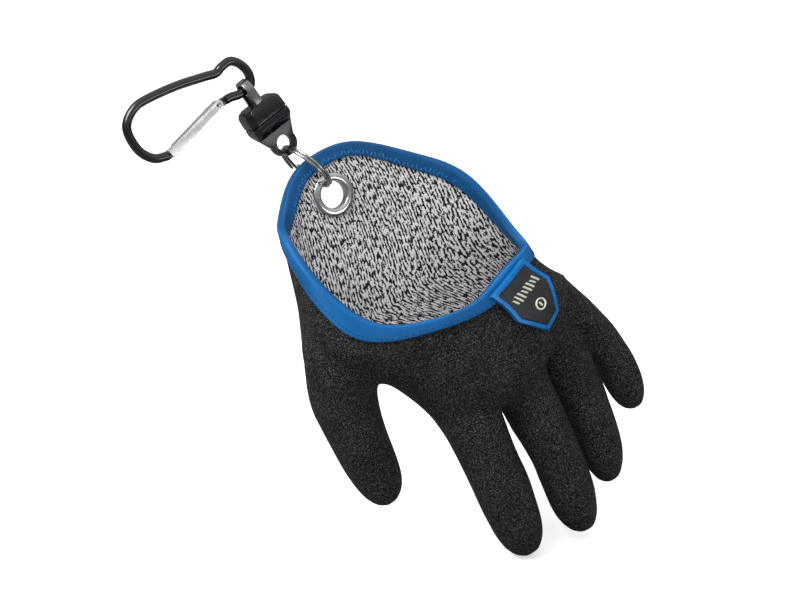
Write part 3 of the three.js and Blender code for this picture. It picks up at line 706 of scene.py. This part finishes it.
def build_finishes() -> Finishes:
    """Returns the materials of all pieces."""
    return Finishes(
        coating=SandyCoating().build(),
        knit=HeatherKnit().build(),
        tape=TwillTape().build(),
        # The stitch thread is darker than the tape: partly its own blue, partly painted shade of the stitch
        # holes.
        thread_and_hole_shade=Moulded("sewn_thread_and_hole_shade", (0.001, 0.022, 0.10), 0.5, 0.7, scale=2400.0, relief=0.0001).build(),
        fringe=Moulded("edge_thread", (0.012, 0.22, 0.62), 0.5, 0.7, scale=2400.0, relief=0.0001).build(),
        rim=Moulded("blue_rubber", (0.0004, 0.165, 0.52), 0.30, 0.42, shine=0.4).build(),
        panel=Moulded("grey_rubber", (0.026, 0.027, 0.030), 0.42, 0.56, relief=0.00004, shine=0.3).build(),
        mark=Moulded("cream_rubber", (0.74, 0.74, 0.62), 0.4, 0.5).build(),
        steel=Moulded("nickel_steel", (0.56, 0.57, 0.58), 0.10, 0.17, metallic=1.0).build(),
        wire=Moulded("spring_wire", (0.44, 0.44, 0.45), 0.16, 0.26, metallic=1.0).build(),
        moulding=Moulded("black_moulding", (0.004, 0.004, 0.005), 0.16, 0.26, coat=0.12, shine=0.35).build(),
        strap=Moulded("satin_strap", (0.24, 0.25, 0.26), 0.20, 0.28, metallic=1.0, relief=0.000006).build(),
        rod=Moulded("black_rod", (0.005, 0.005, 0.006), 0.13, 0.20, coat=0.3, shine=0.5).build(),
        gate=Moulded("silver_gate", (0.82, 0.83, 0.85), 0.30, 0.36, metallic=0.9, relief=0.000004).build(),
    )


# Sub-assemblies


@dataclass(frozen=True)
class Digit:
    """Line of a finger or the thumb, and how its worn shape leans. Sizes in millimetres."""

    root: Sequence[float]
    middle: Sequence[float]
    tip: Sequence[float]
    lean: Sequence[float]
    reach: float = 14.0
    fade: float = 5.0
    past_start: float = 3.0
    lean_share: float = 0.9
    lean_power: float = 1.5
    lean_most: float = 1.1

    def move(
        self, points: np.ndarray, swell: Sequence[Sequence[float]], right: Vector, up: Vector,
    ) -> np.ndarray:
        """Finds how far each point moves when the digit swells and leans.

        Args:
            points: places of a skin's vertices, in metres.
            swell: distances back from the tip in millimetres with the growth there.
            right: direction that the first lean is along.
            up: direction that the second lean is along.

        Returns:
            The moves, in metres.
        """
        root, middle, tip = (np.array(p) * MM for p in (self.root, self.middle, self.tip))
        table = np.array(swell)
        moves = np.zeros_like(points)
        nearest = np.full(len(points), np.inf)
        outer = np.linalg.norm(tip - middle)
        leaning = self.lean_share * (np.linalg.norm(middle - root) + outer)
        push = np.array(self.lean[0] * right + self.lean[1] * up) * MM
        for start, end, before in ((root, middle, outer), (middle, tip, 0.0)):
            span = np.linalg.norm(end - start)
            axis = (end - start) / span
            along = (points - start) @ axis
            held = np.clip(along, 0.0, None if before == 0.0 else span)
            radial = points - start - held[:, None] * axis
            side = points - start - along[:, None] * axis
            distance = np.linalg.norm(side, axis=1) + np.clip(-along, 0, None) * self.past_start
            back = before + span - along
            grown = np.interp(back / MM, table[:, 0], table[:, 1]) - 1
            lean = np.clip(1 - back / leaning, 0, self.lean_most) ** self.lean_power
            reach = np.clip((self.reach + self.fade - distance / MM) / self.fade, 0, 1)
            move = reach[:, None] * (grown[:, None] * side + lean[:, None] * push)
            away = np.linalg.norm(radial, axis=1)
            closer = away < nearest
            nearest = np.minimum(nearest, away)
            moves[closer] = move[closer]
        return moves


@dataclass
class GloveShell:
    """The coated knit: palm, fingers and thumb, softened from the frame's facets."""

    wall: Wall
    finishes: Finishes
    levels: int = 2
    passes: int = 34
    blend_passes: int = 70
    guard_from: float = 7.5 * MM
    guard_to: float = 20.0 * MM
    digits: Sequence[Digit] = (
        Digit((-15.0, 4.0, -72.0), (-16.8, 7.5, -125.0), (-21.7, 19.0, -181.6), (0.8, -1.0)),
        Digit((18.1, 3.0, -75.0), (18.1, 8.5, -135.0), (11.5, 20.0, -190.5), (2.0, -1.0)),
        Digit((46.0, 7.0, -68.0), (48.6, 12.5, -125.0), (40.0, 23.0, -177.5), (3.0, -2.5)),
        Digit((55.1, 8.0, -58.0), (75.5, 15.5, -112.1), (71.0, 24.0, -155.4), (4.2, 1.0)),
        Digit((-51.2, 4.9, -12.0), (-66.5, 14.5, -49.9), (-67.0, 29.0, -111.5), (0.5, -3.6)),
    )
    # place, reach
    blends: Sequence[tuple[Sequence[float], float]] = (
        ((-32.6, 4.0, -82.5), 24.0), ((66.0, 4.0, -63.0), 24.0),
    )
    # back from the tip, growth
    swell: Sequence[Sequence[float]] = (
        (-5, 1.17), (10, 1.15), (30, 1.09), (55, 1.09), (75, 1.11), (95, 1.0),
    )
    fold_seed: int = 1795852334
    fold_size: float = 24.0 * MM
    fold_depth: float = 0.9 * MM
    grain_size: float = 2.2 * MM
    grain_depth: float = 0.10 * MM

    def skin(self, node: str, name: str) -> bpy.types.Object:
        """Makes a soft skin from a CAD node, its digits worn to shape.

        Args:
            node: the CAD node.
            name: name of the piece.

        Returns:
            The piece, smooth and dense, its edge left where the binding covers it.
        """
        obj = copy_of(node, name)
        subdivide(obj, self.levels)
        tree = search_tree(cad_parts["binding"].data)
        group = obj.vertex_groups.new(name="soft")
        for vertex in obj.data.vertices:
            distance = tree.find_nearest(vertex.co)[3]
            part = (distance - self.guard_from) / (self.guard_to - self.guard_from)
            weight = min(max(part, 0.0), 1.0)
            if weight > 0:
                group.add([vertex.index], weight, "REPLACE")
        apply_modifier(obj, "SMOOTH", factor=0.5, iterations=self.passes, vertex_group="soft")
        right, up = Studio().axes()[:2]
        points = np.array([v.co for v in obj.data.vertices])
        moves = sum(digit.move(points, self.swell, right, up) for digit in self.digits)
        for vertex, move in zip(obj.data.vertices, moves):
            weight = vertex.groups[0].weight if vertex.groups else 0.0
            vertex.co += weight * Vector(move)
            fold = noise_vector(vertex.co / self.fold_size) * self.fold_depth
            vertex.co += weight * (fold + noise_vector(vertex.co / self.grain_size) * self.grain_depth)
        obj.vertex_groups.clear()
        for place, reach in self.blends:
            group = obj.vertex_groups.new(name="blend")
            centre = Vector(place) * MM
            for vertex in obj.data.vertices:
                near = 1 - (vertex.co - centre).length / (reach * MM)
                if near > 0:
                    group.add([vertex.index], min(1.0, 2 * near), "REPLACE")
            apply_modifier(obj, "SMOOTH", factor=0.5, iterations=self.blend_passes, vertex_group="blend")
            obj.vertex_groups.clear()
        smooth_shading(obj)
        return obj

    def unroll(self, obj: bpy.types.Object) -> None:
        """Gives a piece coordinates in millimetres round and down the palm's tube."""
        layer = obj.data.uv_layers.new(name="unrolled")
        girth = self.wall.girth
        around = [self.wall.share_at(v.co) * girth for v in obj.data.vertices]
        for polygon in obj.data.polygons:
            values = [around[i] for i in polygon.vertices]
            crossing = max(values) - min(values) > girth / 2
            for loop, vertex, value in zip(polygon.loop_indices, polygon.vertices, values):
                u = value + girth if crossing and value < girth / 2 else value
                layer.data[loop].uv = (u, obj.data.vertices[vertex].co.z / MM)

    def build(self) -> None:
        """Builds the coating and the knit inside it, with the same folds each run."""
        seed_set(self.fold_seed)
        coating = self.skin("coating", "soft_coating")
        dress(coating, self.finishes.coating, Body.GLOVE)
        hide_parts("coating")
        knit = self.skin("liner", "soft_knit")
        self.unroll(knit)
        dress(knit, self.finishes.knit, Body.GLOVE)
        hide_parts("liner")


@dataclass
class Binding:
    """The tape folded over the edge of the hand entry, and its stitches. Sizes in millimetres."""

    wall: Wall
    finishes: Finishes
    stitch_pitch: float = 2.2
    stitch_length: float = 1.35
    stitch_thickness: float = 0.48
    stitch_stand: float = 0.02
    stitch_least: float = 0.3
    stitch_lap: float = 1.05
    edge_length: float = 330.0
    row_down: float = 4.5
    inside_down: float = 5.0
    inside_sway: float = 0.35
    zigzag: float = 1.2

    def tape(self) -> BVHTree:
        """Builds the folded tape.

        Returns:
            A search tree over its surface, for the stitches.
        """
        obj = copy_of("binding", "folded_tape")
        subdivide(obj, 3)
        smooth_shading(obj)
        # Marks the tape's inside leg, which the tape's material darkens as painted shade.
        shaded_inside_leg = obj.data.attributes.new("shaded_inside_leg", "FLOAT", "POINT")
        for vertex, value in zip(obj.data.vertices, shaded_inside_leg.data):
            value.value = self.wall.inside(vertex.co, self.wall.thickness / 2)
        dress(obj, self.finishes.tape, Body.GLOVE)
        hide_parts("binding")
        return search_tree(obj.data)

    def stitches(self, leg: Leg, surface: BVHTree) -> None:
        """Sews a row of stitches along one leg of the tape.

        Args:
            leg: the leg that they run on.
            surface: the tape's surface, which each stitch is laid on.
        """
        stand = self.wall.seat_gap + self.wall.binding_cloth + self.stitch_stand
        inset = -stand if leg is Leg.OUTSIDE else self.wall.thickness + stand
        stations = self.wall.edge(int(self.edge_length / self.stitch_pitch) * 2)
        copies = []
        first = added(bpy.ops.mesh.primitive_uv_sphere_add, segments=8, ring_count=6, radius=0.5)
        for k in range(0, len(stations), 2):
            down, rise = self.row_down, 0.0
            if leg is Leg.INSIDE:
                down = self.inside_down + self.inside_sway * math.sin(2.3 * k)
                rise = self.zigzag * (1 + 0.4 * math.sin(5.1 * k)) * (1 if k % 4 else -1)
            start = self.wall.edge_point(stations[k], down - rise, inset)
            end = self.wall.edge_point(stations[(k + 1) % len(stations)], down + rise, inset)
            start, end = surface.find_nearest(start)[0], surface.find_nearest(end)[0]
            if (end - start).length < self.stitch_least * MM:
                continue
            along = (end - start).normalized()
            turn = along.to_track_quat("X", "Z").to_matrix().to_4x4()
            long = self.stitch_length * MM if leg is Leg.OUTSIDE else (end - start).length * self.stitch_lap
            size = Matrix.Diagonal((long, self.stitch_thickness * MM, self.stitch_thickness * MM, 1))
            stitch = first.copy()
            stitch.data = first.data.copy()
            stitch.data.transform(Matrix.Translation((start + end) / 2) @ turn @ size)
            bpy.context.scene.collection.objects.link(stitch)
            copies.append(stitch)
        bpy.data.objects.remove(first)
        row = join(copies, f"stitches_{leg.value}")
        smooth_shading(row)
        finish = self.finishes.thread_and_hole_shade if leg is Leg.OUTSIDE else self.finishes.fringe
        dress(row, finish, Body.GLOVE)

    def build(self) -> None:
        """Builds the tape and both rows of stitches."""
        surface = self.tape()
        self.stitches(Leg.OUTSIDE, surface)
        self.stitches(Leg.INSIDE, surface)


@dataclass
class Badge:
    """The moulded shield on the back of the hand, with plain marks. Sizes in millimetres."""

    wall: Wall
    finishes: Finishes
    share: float = 0.856
    top: float = -37.2
    slope: float = math.radians(10)
    lean: float = math.radians(-5)
    floor: float = 3.75
    mark_height: float = 0.8
    mark_edge: float = 0.14
    bars: int = 8
    bar_pitch: float = 2.8
    bar_down: float = 12.0
    bar_wide: float = 1.25
    bar_long: float = 5.6
    bar_short: float = 3.8
    bar_slant: float = 1.2
    ring_down: float = 24.5
    ring_radius: float = 3.2
    ring_line: float = 1.0
    ring_lift: float = 0.2
    ring_bar: float = 3.0

    def place(self, across: float, down: float, out: float) -> Vector:
        """Finds a point over the badge's panel.

        Args:
            across: millimetres across from its middle line.
            down: millimetres down from its top edge.
            out: millimetres out from the glove's wall.

        Returns:
            The point, in metres.
        """
        u = self.share * self.wall.girth + down * math.sin(self.lean) + across * math.cos(self.slope)
        v = self.top - down * math.cos(self.lean) + across * math.sin(self.slope)
        return self.wall.point(u / self.wall.girth, v, -out)

    def bar(self, across: float, down: float, wide: float, tall: float, slant: float) -> bpy.types.Object:
        """Makes one slanted raised bar.

        Args:
            across: place of its middle across the badge.
            down: place of its middle down the badge.
            wide: its width.
            tall: its height on the badge.
            slant: how far its top leans sideways.

        Returns:
            The bar.
        """
        obj = added(bpy.ops.mesh.primitive_cube_add, size=1.0)
        apply_modifier(obj, "BEVEL", width=self.mark_edge, segments=2)
        shaped(obj, lambda p: self.place(
            across + p.x * wide + p.y * slant, down + p.y * tall, self.floor + self.mark_height * (p.z + 0.5),
        ))
        return obj

    def ring(self) -> bpy.types.Object:
        """Makes the plain raised ring."""
        obj = added(
            bpy.ops.mesh.primitive_torus_add, major_radius=self.ring_radius,
            minor_radius=self.ring_line / 2, major_segments=40, minor_segments=10,
        )
        base = self.floor + self.ring_lift
        shaped(obj, lambda p: self.place(p.x, self.ring_down + p.y, base + self.mark_height * (p.z + 0.5)))
        return obj

    def build(self) -> None:
        """Builds the rim, the panel and the marks."""
        rim = copy_of("badge_frame", "badge_rim")
        soften_edges(rim, 0.45 * MM)
        smooth_shading(rim, 40)
        dress(rim, self.finishes.rim, Body.GLOVE)
        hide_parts("badge_frame")
        panel = copy_of("badge_inlay", "badge_panel")
        soften_edges(panel, 0.2 * MM, 2)
        smooth_shading(panel, 40)
        dress(panel, self.finishes.panel, Body.GLOVE)
        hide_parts("badge_inlay")
        first = -self.bar_pitch * (self.bars - 1) / 2
        marks = []
        for k in range(self.bars):
            tall = self.bar_long if k % 3 else self.bar_short
            across = first + self.bar_pitch * k
            marks.append(self.bar(across, self.bar_down, self.bar_wide, tall, self.bar_slant))
        marks.append(self.ring())
        marks.append(self.bar(0.0, self.ring_down, self.ring_line, self.ring_bar, 0.0))
        for mark in marks:
            with editing(mark):
                bpy.ops.mesh.normals_make_consistent(inside=False)
        piece = join(marks, "badge_marks")
        smooth_shading(piece, 40)
        dress(piece, self.finishes.mark, Body.GLOVE)


@dataclass
class Hardware:
    """Eyelet, split ring, release clip and carabiner. Sizes in millimetres."""

    finishes: Finishes
    seat: Sequence[float] = (-18.46, 25.70, 110.76)
    length: float = 70.8
    width: float = 30.1
    rod: float = 4.8
    tongue_thick: float = 2.2
    tongue_tall: float = 4.2
    tongue_back: float = 2.1
    tongue_past: float = 3.2
    tongue_edge: float = 0.5
    eyelet_growth: float = 0.03
    ring_growth: float = 0.16
    # along, up
    route: Sequence[Sequence[float]] = (
        (0.773, -0.173), (0.871, -0.076), (0.934, 0.166), (0.938, 0.492), (0.894, 0.688),
        (0.788, 0.814), (0.658, 0.807), (0.444, 0.718), (0.240, 0.585), (0.150, 0.522),
        (0.090, 0.555), (0.014, 0.558), (-0.037, 0.445), (-0.062, 0.269), (-0.053, 0.115),
        (-0.022, 0.012), (0.030, 0.000), (0.086, 0.000), (0.144, 0.040), (0.190, 0.050),
    )
    pin: Sequence[float] = (0.262, 0.062)
    nose: Sequence[float] = (0.738, -0.165)

    def at(self, along: float, up: float) -> Vector:
        """Returns a place in the carabiner's plane, in metres."""
        return Vector((
            self.seat[0] - along * self.length, self.seat[1], self.seat[2] + up * self.width,
        )) * MM

    def round_piece(self, node: str, name: str, finish: bpy.types.Material, growth: float) -> None:
        """Dresses a turned or wound metal piece, rounded from its facets.

        Args:
            node: the CAD node.
            name: name of the piece.
            finish: its material.
            growth: how far it grows along its normals, to make up for what the rounding takes away.
        """
        obj = copy_of(node, name)
        subdivide(obj, 2)
        apply_modifier(obj, "DISPLACE", strength=growth * MM, mid_level=0.0)
        smooth_shading(obj, 60)
        dress(obj, finish, Body.GLOVE)
        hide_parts(node)

    def crisp_piece(
        self, node: str, name: str, edge: float, finish: bpy.types.Material, body: Body,
    ) -> None:
        """Dresses a moulded or stamped piece with softened edges.

        Args:
            node: the CAD node.
            name: name of the piece.
            edge: how far the rounding of its edges reaches.
            finish: its material.
            body: the body that it rides on.
        """
        obj = copy_of(node, name)
        soften_edges(obj, edge * MM)
        smooth_shading(obj, 35)
        dress(obj, finish, body)
        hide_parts(node)

    def curve_points(self, steps: int) -> list[Vector]:
        """Returns points along the rod's middle line."""
        knots = np.array([tuple(self.at(a, u)) for a, u in self.route])
        ends = np.vstack([2 * knots[0] - knots[1], knots, 2 * knots[-1] - knots[-2]])
        return [Vector(place) for place in through(ends, steps)] + [Vector(knots[-1])]

    def tongue(self, hub: Vector, end: Vector) -> bpy.types.Object:
        """Makes the flat tongue that the gate's slot takes, from the rod's end to its hub."""
        obj = added(bpy.ops.mesh.primitive_cube_add, size=1.0)
        reach = (end - hub).length + self.tongue_past * MM
        along = (end - hub).normalized()
        turn = Matrix((along, Vector((0, 1, 0)), along.cross(Vector((0, 1, 0))))).transposed().to_4x4()
        size = Matrix.Diagonal((reach, self.tongue_thick * MM, self.tongue_tall * MM, 1))
        middle = hub + along * (reach / 2 - self.tongue_back * MM)
        obj.data.transform(Matrix.Translation(middle) @ turn @ size)
        apply_modifier(obj, "BEVEL", width=self.tongue_edge * MM, segments=2)
        return obj

    def bent_rod(self) -> None:
        """Builds the carabiner's rod with a tongue at each end."""
        places = self.curve_points(8)
        curve = bpy.data.curves.new("bent_rod", "CURVE")
        curve.dimensions = "3D"
        curve.bevel_depth = self.rod / 2 * MM
        curve.bevel_resolution = 6
        curve.use_fill_caps = True
        spline = curve.splines.new("POLY")
        spline.points.add(len(places) - 1)
        for point, place in zip(spline.points, places):
            point.co = (*place, 1.0)
        rod = bpy.data.objects.new("bent_rod", curve)
        bpy.context.scene.collection.objects.link(rod)
        only(rod)
        bpy.ops.object.convert(target="MESH")
        rod = bpy.context.active_object
        hinge = self.tongue(self.at(*self.pin), self.at(*self.route[-1]))
        nose = self.tongue(self.at(*self.nose), self.at(*self.route[0]))
        piece = join([rod, hinge, nose], "bent_rod")
        smooth_shading(piece, 40)
        dress(piece, self.finishes.rod, Body.RELEASE)
        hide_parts("carabiner_frame")

    def build(self) -> None:
        """Builds every metal and moulded piece."""
        looks = self.finishes
        self.round_piece("eyelet", "domed_eyelet", looks.steel, self.eyelet_growth)
        self.round_piece("eyelet_washer", "back_washer", looks.steel, self.eyelet_growth)
        self.round_piece("split_ring", "wound_ring", looks.wire, self.ring_growth)
        self.crisp_piece("clip_lower", "clip_tab_half", 0.45, looks.moulding, Body.GLOVE)
        self.crisp_piece("clip_upper", "clip_strap_half", 0.5, looks.moulding, Body.RELEASE)
        self.crisp_piece("clip_bail", "strap_loop", 0.3, looks.strap, Body.RELEASE)
        self.crisp_piece("carabiner_gate", "flat_gate", 0.35, looks.gate, Body.GATE)
        self.crisp_piece("carabiner_pin", "gate_pin", 0.12, looks.steel, Body.RELEASE)
        self.bent_rod()


@dataclass
class Studio:
    """Camera, soft lights, white surround and pale floor. Lengths in metres."""

    azimuth: float = math.radians(-20)
    elevation: float = math.radians(15)
    roll: float = math.radians(-31)
    distance: float = 1.3
    focal_pixels: float = 2535.0
    frame_pixels: Sequence[float] = (800.0, 600.0)
    origin_pixel: Sequence[float] = (405.0, 250.0)
    table: float = math.radians(24)
    glow: float = 0.50
    dim: float = 0.22
    middle: Sequence[float] = (0, 0, -0.05)
    # name, place, size, watts
    lamps: Sequence[tuple[str, Sequence[float], float, float]] = (
        ("key", (-0.7, 0.8, 0.9), 0.7, 17.0),
        ("fill", (1.0, -0.3, 0.8), 0.5, 3.2),
        ("strip", (0.35, -1.1, 0.6), 0.22, 1.5),
    )
    # share of the way from below to above, brightness
    room_light: Sequence[tuple[float, float]] = ((0.0, 0.10), (0.42, 0.10), (0.62, 0.30), (0.85, 0.95))
    floor_size: float = 6.0
    floor_gap: float = 0.8 * MM
    floor_pale: float = 0.92
    floor_grain: float = 30.0
    floor_mottle: float = 0.04

    def axes(self) -> tuple[Vector, Vector, Vector]:
        """Returns the picture's right, its up, and the way back to the camera."""
        a, e, r = self.azimuth, self.elevation, self.roll
        back = Vector((math.sin(a) * math.cos(e), -math.cos(a) * math.cos(e), math.sin(e)))
        right = Vector((math.cos(a), math.sin(a), 0.0))
        up = back.cross(right)
        return math.cos(r) * right + math.sin(r) * up, math.cos(r) * up - math.sin(r) * right, back

    def camera(self) -> None:
        """Places the camera where the photograph was taken from."""
        right, up, back = self.axes()
        data = bpy.data.cameras.new("camera")
        data.sensor_width = 36.0
        data.lens = self.focal_pixels / self.frame_pixels[0] * data.sensor_width
        data.shift_x = (self.frame_pixels[0] / 2 - self.origin_pixel[0]) / self.frame_pixels[0]
        data.shift_y = (self.origin_pixel[1] - self.frame_pixels[1] / 2) / self.frame_pixels[0]
        camera = bpy.data.objects.new("camera", data)
        turn = Matrix((right, up, back)).transposed().to_4x4()
        camera.matrix_world = Matrix.Translation(back * self.distance) @ turn
        bpy.context.scene.collection.objects.link(camera)
        bpy.context.scene.camera = camera

    def lamp(self, name: str, place: Sequence[float], size: float, watts: float) -> None:
        """Adds a soft area lamp that faces the glove.

        Args:
            name: its name.
            place: metres to the picture's right, up and back from the middle of the glove.
            size: its side.
            watts: its power.
        """
        right, up, back = self.axes()
        middle = Vector(self.middle)
        data = bpy.data.lights.new(name, "AREA")
        data.size = size
        data.energy = watts
        obj = bpy.data.objects.new(name, data)
        where = middle + place[0] * right + place[1] * up + place[2] * back
        turn = (where - middle).to_track_quat("Z", "Y").to_matrix().to_4x4()
        obj.matrix_world = Matrix.Translation(where) @ turn
        bpy.context.scene.collection.objects.link(obj)

    def surround(self) -> None:
        """Sets a white surround that lights the glove mostly from above."""
        world = bpy.data.worlds.new("studio")
        world.use_nodes = True
        tree = world.node_tree
        tree.nodes.clear()
        seen = tree.nodes.new("ShaderNodeBackground")
        seen.inputs["Color"].default_value = (1, 1, 1, 1)
        room = tree.nodes.new("ShaderNodeBackground")
        rays = tree.nodes.new("ShaderNodeLightPath")
        mix = tree.nodes.new("ShaderNodeMixShader")
        output = tree.nodes.new("ShaderNodeOutputWorld")
        geometry = tree.nodes.new("ShaderNodeNewGeometry")
        high = tree.nodes.new("ShaderNodeVectorMath")
        high.operation = "DOT_PRODUCT"
        high.inputs[1].default_value = -self.floor_normal()
        ramp = tree.nodes.new("ShaderNodeValToRGB")
        while len(ramp.color_ramp.elements) < len(self.room_light):
            ramp.color_ramp.elements.new(0.5)
        for element, (position, level) in zip(ramp.color_ramp.elements, self.room_light):
            element.position = position
            element.color = (level, level, level, 1)
        spread = tree.nodes.new("ShaderNodeMapRange")
        spread.inputs["From Min"].default_value = -1.0
        tree.links.new(geometry.outputs["Incoming"], high.inputs[0])
        tree.links.new(high.outputs["Value"], spread.inputs["Value"])
        tree.links.new(spread.outputs["Result"], ramp.inputs["Fac"])
        tree.links.new(ramp.outputs["Color"], room.inputs["Color"])
        tree.links.new(rays.outputs["Is Camera Ray"], mix.inputs["Fac"])
        tree.links.new(room.outputs["Background"], mix.inputs[1])
        tree.links.new(seen.outputs["Background"], mix.inputs[2])
        tree.links.new(mix.outputs["Shader"], output.inputs["Surface"])
        bpy.context.scene.world = world

    def floor_normal(self) -> Vector:
        """Returns the floor's normal, as the photograph's table lies under the index finger."""
        up, back = self.axes()[1:]
        return math.cos(self.table) * up + math.sin(self.table) * back

    def floor(self) -> None:
        """Lays the pale floor under the lowest fingertip."""
        normal = self.floor_normal()
        lowest = min(normal.dot(v.co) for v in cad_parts["coating"].data.vertices) - self.floor_gap
        floor = added(bpy.ops.mesh.primitive_plane_add, size=self.floor_size)
        floor.name = "floor"
        turn = normal.to_track_quat("Z", "Y").to_matrix().to_4x4()
        floor.matrix_world = Matrix.Translation(normal * lowest) @ turn
        shader = Shader("pale_floor")
        grain = shader.noise(shader.place(), self.floor_grain, 2.0)
        seen = shader.add("ShaderNodeLightPath").outputs["Is Camera Ray"]
        tone = shader.blend((grain, self.floor_mottle), (seen, 1 - self.dim))
        stops = ((0.0, (self.dim,) * 3), (1 - self.dim, (self.floor_pale,) * 3))
        shader.set(Base_Color=shader.ramp(tone, stops), Roughness=0.9, Specular_IOR_Level=0.0)
        shader.set(Emission_Color=(1, 1, 1, 1), Emission_Strength=shader.maths("MULTIPLY", seen, self.glow))
        floor.data.materials.append(shader.material)

    def build(self) -> None:
        """Sets up the whole studio."""
        self.camera()
        for lamp in self.lamps:
            self.lamp(*lamp)
        self.surround()
        self.floor()
        bpy.context.scene.view_settings.view_transform = "Standard"


def main() -> None:
    """Builds the studio and the pieces in order."""
    Studio().build()
    wall = Wall()
    finishes = build_finishes()
    GloveShell(wall, finishes).build()
    Binding(wall, finishes).build()
    Badge(wall, finishes).build()
    Hardware(finishes).build()


if __name__ == "__main__":
    main()
